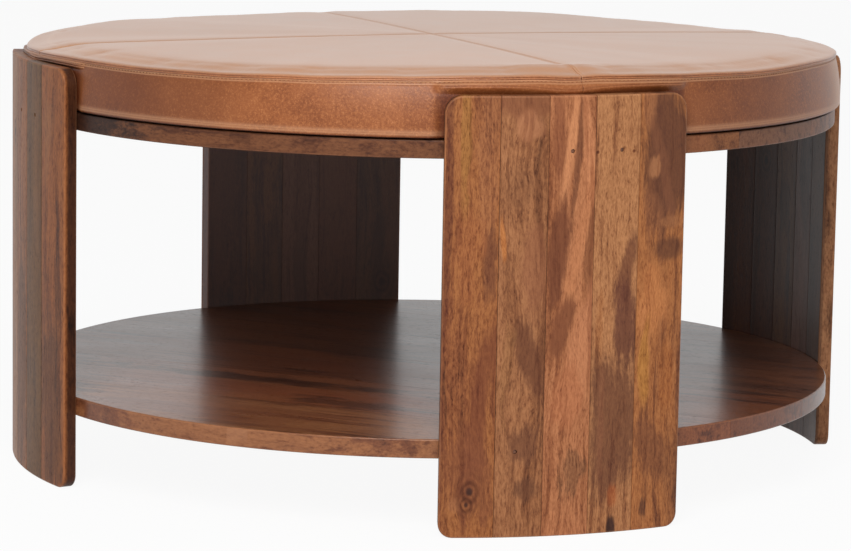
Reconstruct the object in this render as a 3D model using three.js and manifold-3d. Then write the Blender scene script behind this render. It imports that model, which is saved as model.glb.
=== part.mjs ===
// A round coffee table. Four curved legs, each coopered from five upright staves, carry a lower shelf and a top board
// of edge-glued planks. A leather cushion lies on the board between the leg tops and stands a little above them.
// Millimetres, +Z up. The origin is on the floor under the centre. The front is -Y and the legs stand near the
// diagonals. Angles run anticlockwise seen from above, and are counted from +X.

import * as THREE from "three";
import { mergeVertices } from "three/addons/utils/BufferGeometryUtils.js";
import Module from "manifold-3d";

const wasm = await Module();
wasm.setup();

// Fits that all pieces share
const touching_gap = 0.3;
const cut_overrun = 4;

// Legs
const leg_outer_radius = 421;
const leg_thickness = 14;
const leg_height = 406;
const edge_stave_width = 51;
const middle_stave_width = 45;
const middle_staves = 3;
const leg_top_corner_radius = 17;
const leg_foot_corner_radius = 13;
const leg_side_easing = 2.2;
const stave_joint_easing = 0.5;
const stave_end_easing = 0.6;

// The table in the photograph is made by hand: each leg stands a little off its diagonal, by this many degrees
const leg_placings = [-1.8, 2.1, 1.1, -1.4];

// Top board. Its rim meets the legs' inner faces, and it hangs below their tops.
const board_thickness = 17;
const board_underside_drop = 59;
const board_planks = 6;
const board_rim_easing = 1.2;

// Shelf. It is as wide as the board.
const shelf_thickness = 18;
const shelf_underside_height = 71;
const shelf_planks = 6;
const shelf_rim_easing = 1.8;

// Leather cover of the cushion. Its side swells a little between the legs, and the rim seam lies over the leg tops,
// drawn in from the side.
const leather_thickness = 1.8;
const side_swell = 2;
const seam_draw_in = 6;
const seam_over_leg = 7;
const shadow_gap = 2.5;
const lip_rounding = 3.5;
const hem_width = 30;
const roll_width = 36;
const roll_height = 6.5;
const crown_height = 5;
const seam_channel_depth = 1.2;
const seam_channel_width = 7;
const dent_side_clearance = 17.5;
const dent_blend_width = 20;
const rise_over_leg = 5;

// Inside and under the cushion
const foam_side_slack = 1;
const base_thickness = 9;
const liner_margin = 7;

// Nails that hold the legs to the rims
const nail_length = 42;
const nail_shank_radius = 1;
const nail_head_radius = 1.7;
const nail_head_thickness = 1.5;
const nail_point_length = 3;
const nail_set_depth = 1;
const side_nail_offset = 49;

// Screws that hold the cushion to the board
const screw_length = 28;
const screw_shank_radius = 2;
const screw_head_radius = 4;
const screw_head_thickness = 2.6;
const screw_point_length = 4;
const screw_set_depth = 0.4;
const screw_inset = 125;
const screw_drive_width = 1.1;
const screw_drive_length = 4.6;
const screw_drive_depth = 1.4;

// Counts of steps along round stretches
const stave_arc_steps = 4;
const rim_steps = 96;
const corner_arc_steps = 6;
const liner_steps = 48;
const nail_sides = 8;
const screw_sides = 12;
const lip_steps = 2;

// Sizes that follow from the ones above
const quarter_turn = Math.PI / 2;
const eighth_turn = Math.PI / 4;
const half = 1 / 2;
const leg_inner_radius = leg_outer_radius - leg_thickness;
const leg_width = 2 * edge_stave_width + middle_staves * middle_stave_width;
const leg_half_angle = leg_width * half / leg_outer_radius;
const rim_radius = leg_inner_radius - touching_gap;
const board_underside_height = leg_height - board_underside_drop;
const board_top_height = board_underside_height + board_thickness;
const side_radius = leg_inner_radius + side_swell;
const seam_radius = side_radius - seam_draw_in;
const seam_height = leg_height + seam_over_leg;
const liner_radius = leg_inner_radius - liner_margin;
const screw_circle_radius = leg_inner_radius - screw_inset;
const lip_underside_height = board_top_height + shadow_gap;
const lip_top_height = lip_underside_height + lip_rounding;
const base_underside_height = lip_underside_height + leather_thickness + touching_gap;
const base_top_height = base_underside_height + base_thickness;
const liner_thickness = shadow_gap - 2 * touching_gap;
const dent_angle = leg_half_angle + dent_side_clearance / leg_inner_radius;
const dent_end_angle = dent_angle + dent_blend_width / side_radius;
const roll_start_share = 1 - roll_width / seam_radius;
const side_nail_angle = side_nail_offset / leg_outer_radius;

// The legs, anticlockwise, and the cushion quarters that lie between one diagonal and the next
const leg_names = ["front_right", "back_right", "back_left", "front_left"];
const quarter_names = ["right", "back", "left", "front"];
const diagonals = leg_names.map((name, turn) => turn * quarter_turn - eighth_turn);
const legs = leg_names.map((name, turn) => ({
  name,
  angle: diagonals[turn] + THREE.MathUtils.degToRad(leg_placings[turn])
}));

// Materials
const colors = {
  stave: [0x7a4a2e, 0x6e4630, 0x8a5636, 0x67402b, 0x74482f],
  plank: [0x5c3524, 0x66402a, 0x53301f, 0x603926, 0x6a3f2b, 0x573423],
  leather: 0xa9673d,
  foam: 0xe6dcc0,
  plywood: 0xc39a68,
  liner: 0x1c1a19,
  steel: 0x8f9092
};

function finish(color, roughness, metalness) {
  return new THREE.MeshStandardMaterial({ color, roughness, metalness });
}

const wood_finish = (color) => finish(color, 0.4, 0);
const leather_finish = () => finish(colors.leather, 0.45, 0);
const steel_finish = () => finish(colors.steel, 0.35, 1);

// Closed solids: to and from the library that cuts and joins them
function solid_of(geometry) {
  const bare = geometry.clone();
  bare.deleteAttribute("normal");
  bare.deleteAttribute("uv");
  const merged = mergeVertices(bare);
  return new wasm.Manifold(new wasm.Mesh({
    numProp: 3,
    vertProperties: merged.attributes.position.array,
    triVerts: new Uint32Array(merged.index.array)
  }));
}

function geometry_of(solid) {
  const mesh = solid.getMesh();
  const geometry = new THREE.BufferGeometry();
  geometry.setAttribute("position", new THREE.BufferAttribute(mesh.vertProperties, mesh.numProp));
  geometry.setIndex(new THREE.BufferAttribute(mesh.triVerts, 1));
  geometry.computeVertexNormals();
  return geometry;
}

function cut(geometry, tools) {
  let solid = solid_of(geometry);
  for (const tool of tools) {
    solid = solid.subtract(solid_of(tool));
  }
  return geometry_of(solid);
}

function named_mesh(name, geometry, material) {
  const mesh = new THREE.Mesh(geometry, material);
  mesh.name = name;
  return mesh;
}

function on_circle(radius, angle) {
  return new THREE.Vector2(radius * Math.cos(angle), radius * Math.sin(angle));
}

function smooth_step(share) {
  const held = Math.min(Math.max(share, 0), 1);
  return held * held * (3 - 2 * held);
}

// A round bar along +X from its start, as a cutting shape
function radial_bar(radius, start, end, sides) {
  const bar = new THREE.CylinderGeometry(radius, radius, end - start, sides);
  bar.rotateZ(-quarter_turn);
  bar.translate((start + end) * half, 0, 0);
  return bar;
}

// A round bar along +Z, as a cutting shape
function upright_bar(radius, bottom, top, sides) {
  const bar = new THREE.CylinderGeometry(radius, radius, top - bottom, sides);
  bar.rotateX(quarter_turn);
  bar.translate(0, 0, (bottom + top) * half);
  return bar;
}

// Nails lie along a radius: the head's face is just under the leg's outer face. Each one is given by the angle from
// the middle of its leg and by its height.
const board_nail_height = board_underside_height + board_thickness * half;
const shelf_nail_height = shelf_underside_height + shelf_thickness * half;
const leg_nails = [
  { name: "board_nail_left", angle: 0, height: board_nail_height },
  { name: "board_nail_right", angle: side_nail_angle, height: board_nail_height },
  { name: "shelf_nail", angle: -side_nail_angle, height: shelf_nail_height }
];
const nail_face_radius = leg_outer_radius - nail_set_depth;
const nail_point_radius = nail_face_radius - nail_length;

function nail_geometry() {
  const head_end = nail_length - nail_head_thickness;
  const profile = [
    [0, 0],
    [nail_shank_radius, nail_point_length],
    [nail_shank_radius, head_end],
    [nail_head_radius, head_end],
    [nail_head_radius, nail_length],
    [0, nail_length]
  ];
  const nail = new THREE.LatheGeometry(profile.map(([radius, along]) => new THREE.Vector2(radius, along)), nail_sides);
  nail.rotateZ(-quarter_turn);
  nail.translate(nail_point_radius, 0, 0);
  return nail;
}

// Two bars make one nail's hole: a narrow one for the shank and a wide one for the sunk head
function nail_hole_tools(nail, leg_angle) {
  const head_seat = nail_face_radius - nail_head_thickness - touching_gap;
  const shank = radial_bar(nail_shank_radius + touching_gap, nail_point_radius - touching_gap,
    leg_outer_radius + cut_overrun, nail_sides);
  const head = radial_bar(nail_head_radius + touching_gap, head_seat, leg_outer_radius + cut_overrun, nail_sides);
  for (const bar of [shank, head]) {
    bar.translate(0, 0, nail.height);
    bar.rotateZ(leg_angle + nail.angle);
  }
  return [shank, head];
}

function make_nail(leg, nail) {
  const mesh = named_mesh(`${leg.name}_leg_${nail.name}`, nail_geometry(), steel_finish());
  mesh.rotation.z = leg.angle + nail.angle;
  mesh.position.z = nail.height;
  return mesh;
}

// One stave's plan: a piece of a ring between two angles, with its four upright edges eased
function stave_plan(start, end, start_easing, end_easing) {
  const plan = new THREE.Shape();
  const corner = (radius, angle) => {
    const point = on_circle(radius, angle);
    plan.lineTo(point.x, point.y);
  };
  const outer = leg_outer_radius;
  const inner = leg_inner_radius;
  plan.absarc(0, 0, outer, start + start_easing / outer, end - end_easing / outer, false);
  corner(outer - end_easing, end);
  corner(inner + end_easing, end);
  plan.absarc(0, 0, inner, end - end_easing / inner, start + start_easing / inner, true);
  corner(inner + start_easing, start);
  corner(outer - start_easing, start);
  plan.closePath();
  return plan;
}

// The waste outside a leg's rounded corner. side is -1 at the leg's left edge and 1 at its right edge, seen from
// outside, and end is 1 at the top and -1 at the foot.
function corner_waste(side, end, radius, height) {
  const waste = new THREE.Shape();
  waste.moveTo(side * cut_overrun, end * cut_overrun);
  waste.lineTo(-side * radius, end * cut_overrun);
  for (let step = 0; step <= corner_arc_steps; step++) {
    const turn = step / corner_arc_steps * quarter_turn;
    waste.lineTo(side * radius * (Math.sin(turn) - 1), end * radius * (Math.cos(turn) - 1));
  }
  waste.lineTo(side * cut_overrun, -end * radius);
  waste.closePath();
  const depth = leg_thickness + 2 * cut_overrun;
  const tool = new THREE.ExtrudeGeometry(waste, { depth, bevelEnabled: false });
  const tangent = new THREE.Vector3(0, 1, 0);
  const up = new THREE.Vector3(0, 0, 1);
  const outwards = new THREE.Vector3(1, 0, 0);
  tool.applyMatrix4(new THREE.Matrix4().makeBasis(tangent, up, outwards));
  tool.translate(leg_inner_radius - cut_overrun, 0, height);
  tool.rotateZ(side * leg_half_angle);
  return tool;
}

function stave_angles() {
  const widths = [edge_stave_width, ...Array(middle_staves).fill(middle_stave_width), edge_stave_width];
  let start = -leg_half_angle;
  return widths.map((width) => {
    const end = start + width / leg_outer_radius;
    const angles = { start, end };
    start = end;
    return angles;
  });
}

function make_stave(leg, number, angles, last) {
  const first = number === 1;
  const joint_half_gap = touching_gap * half / leg_inner_radius;
  const start = angles.start + (first ? 0 : joint_half_gap);
  const end = angles.end - (last ? 0 : joint_half_gap);
  const plan = stave_plan(start, end, first ? leg_side_easing : stave_joint_easing,
    last ? leg_side_easing : stave_joint_easing);
  const blank = new THREE.ExtrudeGeometry(plan, {
    depth: leg_height - 2 * stave_end_easing,
    curveSegments: stave_arc_steps,
    bevelSegments: 1,
    bevelThickness: stave_end_easing,
    bevelSize: stave_end_easing,
    bevelOffset: -stave_end_easing
  });
  blank.translate(0, 0, stave_end_easing);
  const tools = [];
  if (first || last) {
    const side = first ? -1 : 1;
    tools.push(corner_waste(side, 1, leg_top_corner_radius, leg_height));
    tools.push(corner_waste(side, -1, leg_foot_corner_radius, 0));
  }
  for (const nail of leg_nails) {
    if (nail.angle > angles.start && nail.angle < angles.end) {
      tools.push(...nail_hole_tools(nail, 0));
    }
  }
  const color = colors.stave[(number - 1) % colors.stave.length];
  return named_mesh(`${leg.name}_leg_stave_${number}`, cut(blank, tools), wood_finish(color));
}

function make_leg(leg) {
  const group = new THREE.Group();
  const all_angles = stave_angles();
  all_angles.forEach((angles, index) => {
    group.add(make_stave(leg, index + 1, angles, index === all_angles.length - 1));
  });
  group.rotation.z = leg.angle;
  return group;
}

// The board or the shelf in one piece, a round slab between the four legs
function round_slab(thickness, underside, easing) {
  const plan = new THREE.Shape();
  plan.absarc(0, 0, rim_radius, 0, 2 * Math.PI, false);
  const disc = new THREE.ExtrudeGeometry(plan, {
    depth: thickness - 2 * easing,
    curveSegments: rim_steps,
    bevelSegments: 1,
    bevelThickness: easing,
    bevelSize: easing,
    bevelOffset: -easing
  });
  disc.translate(0, 0, underside + easing);
  return disc;
}

// The screws stand near the diagonals, so their holes keep clear of the glue joints between planks
function screw_hole_tools() {
  const head_seat = board_underside_height + screw_set_depth + screw_head_thickness + touching_gap;
  const screw_end = board_underside_height + screw_set_depth + screw_length + touching_gap;
  return legs.flatMap((leg) => {
    const spot = on_circle(screw_circle_radius, leg.angle);
    const shank = upright_bar(screw_shank_radius + touching_gap, board_underside_height - cut_overrun, screw_end,
      screw_sides);
    const head = upright_bar(screw_head_radius + touching_gap, board_underside_height - cut_overrun, head_seat,
      screw_sides);
    return [shank, head].map((bar) => bar.translate(spot.x, spot.y, 0));
  });
}

function rim_nail_tools(height) {
  return legs.flatMap((leg) => {
    const nails = leg_nails.filter((nail) => nail.height === height);
    return nails.flatMap((nail) => nail_hole_tools(nail, leg.angle));
  });
}

// A slab is ripped into equal planks that run along X. Plank 1 is the front one.
function make_planks(name, slab, count, tools) {
  const group = new THREE.Group();
  const whole = solid_of(cut(slab, tools));
  slab.computeBoundingBox();
  const { min, max } = slab.boundingBox;
  const width = 2 * rim_radius / count;
  for (let index = 0; index < count; index++) {
    const strip = new THREE.BoxGeometry(2 * (rim_radius + cut_overrun), width - touching_gap,
      max.z - min.z + 2 * cut_overrun);
    strip.translate(0, (index + half) * width - rim_radius, (min.z + max.z) * half);
    const plank = geometry_of(whole.intersect(solid_of(strip)));
    group.add(named_mesh(`${name}_${index + 1}`, plank, wood_finish(colors.plank[index % colors.plank.length])));
  }
  return group;
}

function make_board() {
  const slab = round_slab(board_thickness, board_underside_height, board_rim_easing);
  const tools = [...screw_hole_tools(), ...rim_nail_tools(board_nail_height)];
  return make_planks("top_board_plank", slab, board_planks, tools);
}

function make_shelf() {
  const slab = round_slab(shelf_thickness, shelf_underside_height, shelf_rim_easing);
  return make_planks("shelf_plank", slab, shelf_planks, rim_nail_tools(shelf_nail_height));
}

// The screw's profile runs up from the face of its pan head to its point
function make_screw(leg) {
  const profile = [
    [0, 0],
    [screw_head_radius, 0],
    [screw_head_radius, screw_head_thickness],
    [screw_shank_radius, screw_head_thickness],
    [screw_shank_radius, screw_length - screw_point_length],
    [0, screw_length]
  ];
  const screw = new THREE.LatheGeometry(profile.map(([radius, along]) => new THREE.Vector2(radius, along)),
    screw_sides);
  screw.rotateX(quarter_turn);
  const slots = [0, quarter_turn].map((turn) => {
    const slot = new THREE.BoxGeometry(screw_drive_length, screw_drive_width, 2 * screw_drive_depth);
    return slot.rotateZ(turn);
  });
  const mesh = named_mesh(`${leg.name}_cushion_screw`, cut(screw, slots), steel_finish());
  const spot = on_circle(screw_circle_radius, leg.angle);
  mesh.position.set(spot.x, spot.y, board_underside_height + screw_set_depth);
  return mesh;
}

// How far the legs press the cushion in, from 0 to 1, at an angle from the nearest diagonal. The dent is wider than the
// leg, because the leg may stand off its diagonal.
function dent_share(from_leg) {
  return 1 - smooth_step((from_leg - dent_angle) / (dent_end_angle - dent_angle));
}

// The rim seam is pushed up over each leg, to a peak on the diagonal
function rise(from_leg) {
  return rise_over_leg * Math.max(0, 1 - from_leg / dent_angle);
}

// The cover's side, which draws in towards the rim seam. Where it would swell past the legs' inner faces, they dent it.
function side_radius_at(height, from_leg) {
  const seam = seam_height + rise(from_leg);
  const drawn_in = ((height - lip_top_height) / (seam - lip_top_height)) ** 2;
  const free = side_radius - (side_radius - seam_radius) * drawn_in;
  return free - Math.max(0, free - rim_radius) * dent_share(from_leg);
}

// Angles from one diagonal to halfway to the next. The dent's edge and the top's roll each have a row.
const dent_rows = 2;
const blend_rows = 3;
const free_rows = 3;
const roll_row_angle = roll_start_share * eighth_turn;

function eighth_turn_angles() {
  const angles = [];
  for (let row = 0; row < dent_rows; row++) {
    angles.push(dent_angle * row / dent_rows);
  }
  for (let row = 0; row < blend_rows; row++) {
    angles.push(dent_angle + (dent_end_angle - dent_angle) * row / blend_rows);
  }
  for (let row = 0; row <= free_rows; row++) {
    angles.push(dent_end_angle + (roll_row_angle - dent_end_angle) * row / free_rows);
  }
  angles.push(eighth_turn);
  return angles;
}

// Angles from one diagonal to the next
function quarter_turn_angles(end_gap) {
  const to_middle = eighth_turn_angles();
  const from_middle = to_middle.slice(0, -1).reverse().map((angle) => quarter_turn - angle);
  const angles = [...to_middle, ...from_middle];
  angles[0] = end_gap;
  angles[angles.length - 1] = quarter_turn - end_gap;
  return angles;
}

function angle_from_leg(angle) {
  return Math.min(angle, quarter_turn - angle);
}

// A closed block divided by three lists, whose points a function moves to their places. It is given one value from
// each list.
function bent_block(columns, rows, layers, place) {
  const counts = [columns.length - 1, rows.length - 1, layers.length - 1];
  const block = new THREE.BoxGeometry(1, 1, 1, ...counts);
  const points = block.attributes.position;
  const pick = (list, position) => list[Math.round((position + half) * (list.length - 1))];
  for (let index = 0; index < points.count; index++) {
    const column = pick(columns, points.getX(index));
    const row = pick(rows, points.getY(index));
    const layer = pick(layers, points.getZ(index));
    const spot = place(column, row, layer);
    points.setXYZ(index, spot.x, spot.y, spot.z);
  }
  return geometry_of(solid_of(block));
}

// The side strip's way from the hem's end under the base, round the lip and up the side to the rim seam. Each
// station gives a point on the skin, or on the leather's inner face at a depth under the skin.
const side_height_shares = [0, 0.3, 0.65, 1];
const swell_height_shares = [0.5, 1];

function side_station_heights(from_leg) {
  const leg_top = leg_height + touching_gap;
  const seam = seam_height + rise(from_leg);
  const beside_leg = side_height_shares.map((share) => lip_top_height + (leg_top - lip_top_height) * share);
  const above_leg = swell_height_shares.map((share) => leg_top + (seam - leg_top) * share);
  return [...beside_leg, ...above_leg];
}

function strip_stations(from_leg, depth) {
  const lip_radius = side_radius_at(lip_top_height, from_leg) - lip_rounding;
  const stations = [{ radius: lip_radius + lip_rounding - hem_width, height: lip_underside_height + depth }];
  for (let step = 0; step < lip_steps; step++) {
    const turn = step / lip_steps * quarter_turn;
    stations.push({
      radius: lip_radius + (lip_rounding - depth) * Math.sin(turn),
      height: lip_top_height - (lip_rounding - depth) * Math.cos(turn)
    });
  }
  for (const height of side_station_heights(from_leg)) {
    stations.push({ radius: side_radius_at(height, from_leg) - depth, height });
  }
  return stations;
}

function make_side_strip(name, start_angle) {
  const end_gap = touching_gap * half / leg_inner_radius;
  const station_numbers = strip_stations(0, 0).map((station, number) => number);
  const strip = bent_block(quarter_turn_angles(end_gap), [0, leather_thickness], station_numbers,
    (angle, depth, number) => {
      const station = strip_stations(angle_from_leg(angle), depth)[number];
      const spot = on_circle(station.radius, start_angle + angle);
      return { x: spot.x, y: spot.y, z: station.height };
    });
  return named_mesh(`${name}_leather_side_strip`, strip, leather_finish());
}

// How fast the lift over a leg dies away towards the middle of the top
const rise_fall_off = 6;

// The top of the cover, at a depth under the skin. across and along are shares of the seam radius on the two seam
// lines that bound a quarter, and every row of the grid keeps its distance from a seam line.
function top_place(across, along, depth) {
  const reach = Math.max(Math.abs(across), Math.abs(along));
  const lean = reach === 0 ? 0 : Math.min(Math.abs(across), Math.abs(along)) / reach;
  const from_leg = lean * eighth_turn;
  const in_roll = Math.max(0, (reach - roll_start_share) / (1 - roll_start_share));
  const level_share = Math.sqrt(1 - in_roll * in_roll);
  const crown = crown_height * (1 - reach * reach);
  const lift = rise(from_leg) * reach ** rise_fall_off;
  return {
    radius: reach * seam_radius - depth * in_roll,
    height: seam_height + (roll_height - depth) * level_share + crown + lift,
    turn: Math.abs(along) > Math.abs(across) ? quarter_turn - from_leg : from_leg,
    from_leg,
    reach,
    level_share
  };
}

// The sewn seams draw a shallow channel into the top, which runs out at the rim
function channel_drop(place) {
  const from_seam_line = place.from_leg * place.reach * seam_radius;
  return seam_channel_depth * Math.exp(-((from_seam_line / seam_channel_width) ** 2)) * place.level_share;
}

// Rows of a leather quarter, as shares of the way from a seam line. The dent's edge and the roll each have rows.
const channel_row_shares = [0.5, 1.2];
const open_row_shares = [0.35, 0.7];
const roll_row_shares = [0, 0.5, 0.85, 1];

function quarter_rows() {
  const row_at = (length) => length / (seam_radius * eighth_turn);
  const dent_row = dent_angle / eighth_turn;
  return [
    row_at(touching_gap * half),
    ...channel_row_shares.map((share) => row_at(seam_channel_width * share)),
    dent_row * half,
    dent_row,
    ...open_row_shares.map((share) => dent_row + (roll_start_share - dent_row) * share),
    ...roll_row_shares.map((share) => roll_start_share + (1 - roll_start_share) * share)
  ];
}

function make_leather_quarter(name, start_angle) {
  const rows = quarter_rows();
  const quarter = bent_block(rows, rows, [leather_thickness, 0], (across, along, depth) => {
    const place = top_place(across, along, depth);
    const spot = on_circle(place.radius, start_angle + place.turn);
    return { x: spot.x, y: spot.y, z: place.height - channel_drop(place) + touching_gap };
  });
  return named_mesh(`${name}_leather_quarter`, quarter, leather_finish());
}

// The foam fills the cover. Its flat face lies on the base, and its top is a channel's depth lower than the leather.
const foam_top_depth = leather_thickness + touching_gap + seam_channel_depth;
const foam_side_depth = leather_thickness + touching_gap + foam_side_slack;
const foam_side_shares = [0, 0.5, 1];

function foam_side_heights(from_leg) {
  const bottom = base_top_height + touching_gap;
  const leg_top = leg_height + touching_gap;
  const seam = seam_height + rise(from_leg);
  const beside_leg = foam_side_shares.map((share) => bottom + (leg_top - bottom) * share);
  return [...beside_leg, leg_top + (seam - leg_top) * swell_height_shares[0]];
}

function foam_place(across, along, layer) {
  const top = top_place(across, along, foam_top_depth);
  const side_heights = foam_side_heights(top.from_leg);
  if (layer === side_heights.length) {
    return top;
  }
  const height = side_heights[layer];
  const radius = (side_radius_at(height, top.from_leg) - foam_side_depth) * top.reach;
  return { ...top, radius, height };
}

function make_foam() {
  const eighth_rows = eighth_turn_angles().map((angle) => angle / eighth_turn);
  const rows = [...eighth_rows.slice(1).reverse().map((share) => -share), ...eighth_rows];
  const layers = [...foam_side_heights(0).keys(), foam_side_heights(0).length];
  const foam = bent_block(rows, rows, layers, (across, along, layer) => {
    const place = foam_place(across, along, layer);
    const mirrored = (across < 0) !== (along < 0);
    const turn = (mirrored ? -place.turn : place.turn) + (across < 0 ? Math.PI : 0);
    const spot = on_circle(place.radius, diagonals[0] + turn);
    return { x: spot.x, y: spot.y, z: place.height };
  });
  return named_mesh("foam_pad", foam, finish(colors.foam, 0.95, 0));
}

// The base is dented like the cover, and lies inside the lip's rounding
function make_base() {
  const radius_at = (angle) => side_radius_at(lip_top_height, angle_from_leg(angle)) - lip_rounding;
  const plan = new THREE.Shape(diagonals.flatMap((diagonal) => {
    const angles = quarter_turn_angles(0).slice(1);
    return angles.map((angle) => on_circle(radius_at(angle), diagonal + angle));
  }));
  const plate = new THREE.ExtrudeGeometry(plan, { depth: base_thickness, bevelEnabled: false });
  plate.translate(0, 0, base_underside_height);
  return named_mesh("cushion_base", cut(plate, screw_hole_tools()), finish(colors.plywood, 0.7, 0));
}

function make_liner() {
  const bottom = board_top_height + touching_gap;
  const sheet = upright_bar(liner_radius, bottom, bottom + liner_thickness, liner_steps);
  return named_mesh("cushion_liner", cut(sheet, screw_hole_tools()), finish(colors.liner, 0.95, 0));
}

// The whole table
const table = new THREE.Group();
for (const leg of legs) {
  table.add(make_leg(leg));
  table.add(make_screw(leg));
  for (const nail of leg_nails) {
    table.add(make_nail(leg, nail));
  }
}
table.add(make_shelf());
table.add(make_board());
table.add(make_liner());
table.add(make_base());
table.add(make_foam());
quarter_names.forEach((name, index) => {
  table.add(make_side_strip(name, diagonals[index]));
  table.add(make_leather_quarter(name, diagonals[index]));
});

export default table;
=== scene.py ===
# A round coffee table: four coopered legs, a shelf and a board of stained wood, and a leather cushion.
# Metres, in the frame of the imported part: +Z up, the front is -Y, angles run anticlockwise from +X.

import math
import random

import bmesh
import bpy
from mathutils import Matrix, Vector
from mathutils.kdtree import KDTree


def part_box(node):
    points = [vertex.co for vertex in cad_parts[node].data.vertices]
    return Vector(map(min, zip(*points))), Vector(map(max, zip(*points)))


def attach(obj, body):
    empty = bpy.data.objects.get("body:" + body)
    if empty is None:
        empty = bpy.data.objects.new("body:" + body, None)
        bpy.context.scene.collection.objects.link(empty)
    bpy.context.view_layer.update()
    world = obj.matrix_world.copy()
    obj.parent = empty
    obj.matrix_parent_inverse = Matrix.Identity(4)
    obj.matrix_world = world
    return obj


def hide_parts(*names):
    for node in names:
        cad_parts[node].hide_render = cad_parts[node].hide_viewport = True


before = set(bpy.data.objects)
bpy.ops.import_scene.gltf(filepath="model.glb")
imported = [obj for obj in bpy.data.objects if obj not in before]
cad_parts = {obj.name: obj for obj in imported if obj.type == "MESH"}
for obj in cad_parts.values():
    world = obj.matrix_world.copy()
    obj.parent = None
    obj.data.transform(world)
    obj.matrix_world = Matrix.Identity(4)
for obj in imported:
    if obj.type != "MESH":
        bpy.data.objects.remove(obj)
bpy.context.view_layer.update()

# Heights and radii that the frame gives
leg_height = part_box("front_right_leg_stave_3")[1].z
board_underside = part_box("top_board_plank_3")[0].z
board_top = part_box("top_board_plank_3")[1].z
shelf_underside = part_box("shelf_plank_3")[0].z
shelf_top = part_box("shelf_plank_3")[1].z
base_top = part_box("cushion_base")[1].z

# Sizes of the wood
leg_outer_radius = 0.421
leg_thickness = 0.014
edge_stave_width = 0.051
middle_stave_width = 0.045
leg_top_corner_radius = 0.017
leg_foot_corner_radius = 0.013
leg_arris_radius = 0.0016
stave_joint_easing = 0.0006
stave_joint_depth = 0.00022
touching_gap = 0.0003
rim_arris_radius = 0.0014
plank_count = 6
corner_segments = 8
arris_segments = 3
nail_bore_radius = 0.002
stave_cuts = 10
rim_segments = 240

# The table is made by hand: each leg stands a little off its diagonal, by this many degrees
leg_placings = [-1.8, 2.1, 1.1, -1.4]

# Sizes of the cushion
leather_thickness = 0.0018
seam_radius = 0.403
seam_height = leg_height + 0.007
side_radius = 0.4102
shadow_gap = 0.0030
lip_rounding = 0.0035
hem_width = 0.03
roll_width = 0.031
roll_height = 0.0066
roll_bulge = 0.0034
crown_height = 0.0042
dent_side_clearance = 0.0005
dent_blend_width = 0.012
puff_depth = 0.0042
undercut_depth = 0.0022
over_leg_fade = 0.022
stitch_tilt = 0.25
top_cell = 0.0042
stitch_length = 0.0032
stitch_pitch = 0.0042
stitch_thickness = 0.0006
stitch_row_offset = 0.0023

# How far the rim seam is pushed up over the middle of each leg
leg_rises = [0.0010, 0.0010, 0.0005, 0.0005]

# How far the seam sags back at the middle of each leg
leg_sags = [0.0015, 0.0005, 0.0005, 0.0]

# How far the top's roll swells above each leg, how far round that reaches, and its middle and width as shares of the
# seam's radius
roll_swells = [0.0030, 0.0006, 0.0, 0.0]
roll_swell_angle = 0.15
roll_swell_reach, roll_swell_width = 0.935, 0.04

# The angles that the sag of the seam and the dip of the puff reach to each side of a leg's middle
sag_angle = 0.05
puff_dip_angle = 0.085

# The puff's middle, how much lower it is over the leg's middle, and its width, as shares of the way from the leg's top
# to the rim seam
puff_level, puff_dip, puff_width = 0.64, 0.26, 0.36

# How much the rim of the handmade cushion stands above or below its usual height, at angles in degrees
rim_unevenness = [
    (0, 0.0040), (15, 0.0030), (30, 0.0018), (42, 0.0006), (60, -0.0024), (80, -0.0026), (100, -0.0004), (115, -0.0013),
    (130, -0.0032), (150, -0.0048), (165, -0.0042), (180, -0.0021), (195, -0.0022), (211, -0.0038), (224, -0.0020),
    (238, 0.0), (252, -0.0003), (265, 0.0005), (278, 0.0026), (291, 0.0046), (301, 0.0062), (312, 0.0064),
    (323, 0.0058), (333, 0.0046), (345, 0.0030), (360, 0.0040),
]

# How far the rim seam stands out of its circle, at angles in degrees
seam_spread = [
    (0, 0.0), (20, 0.0020), (40, 0.0), (180, 0.0), (198, 0.0024), (214, 0.0026), (232, 0.0008), (250, 0.0), (360, 0.0),
]

# How dark the band's leather is painted, from 0 to 1, at angles in degrees: painted shade towards both sides of the
# front, and uneven tone round the back
band_painted_shade = [
    (0, 0.35), (20, 0.1), (60, 0.2), (110, 0.4), (150, 0.15), (200, 0.3), (232, 0.45), (250, 0.85), (262, 0.6),
    (275, 0.1), (296, 0.0), (318, 0.2), (330, 0.5), (345, 0.7), (360, 0.35),
]

# Sizes that follow
leg_names = ["front_right", "back_right", "back_left", "front_left"]
quarter_names = ["right", "back", "left", "front"]
diagonals = [math.radians(90 * turn - 45) for turn in range(4)]
leg_angles = [diagonal + math.radians(placing) for diagonal, placing in zip(diagonals, leg_placings)]
leg_inner_radius = leg_outer_radius - leg_thickness
leg_width = 2 * edge_stave_width + 3 * middle_stave_width
leg_half_angle = leg_width / 2 / leg_outer_radius
rim_radius = leg_inner_radius - touching_gap
eighth_turn = math.pi / 4
quarter_turn = math.pi / 2
lip_underside = board_top + shadow_gap
lip_top = lip_underside + lip_rounding
dent_angle = leg_half_angle + dent_side_clearance / leg_inner_radius
dent_end_angle = dent_angle + dent_blend_width / side_radius
roll_start = 1 - roll_width / seam_radius
tiny = 1e-5


def angle_between(first, second):
    return math.remainder(first - second, 2 * math.pi)


def round_about(angle, radius, height):
    return Vector((radius * math.cos(angle), radius * math.sin(angle), height))


def linear(red, green, blue):
    """A colour as seen on screen, from 0 to 255, as the light values that a shader takes."""
    def channel(value):
        share = value / 255
        return share / 12.92 if share <= 0.04045 else ((share + 0.055) / 1.055) ** 2.4
    return (channel(red), channel(green), channel(blue), 1.0)


def by_node(operation, swapped=False):
    """A method that joins two values with a Math node."""
    def method(value, other):
        return value.maths(operation, *((other, value) if swapped else (value, other)))
    return method


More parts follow.
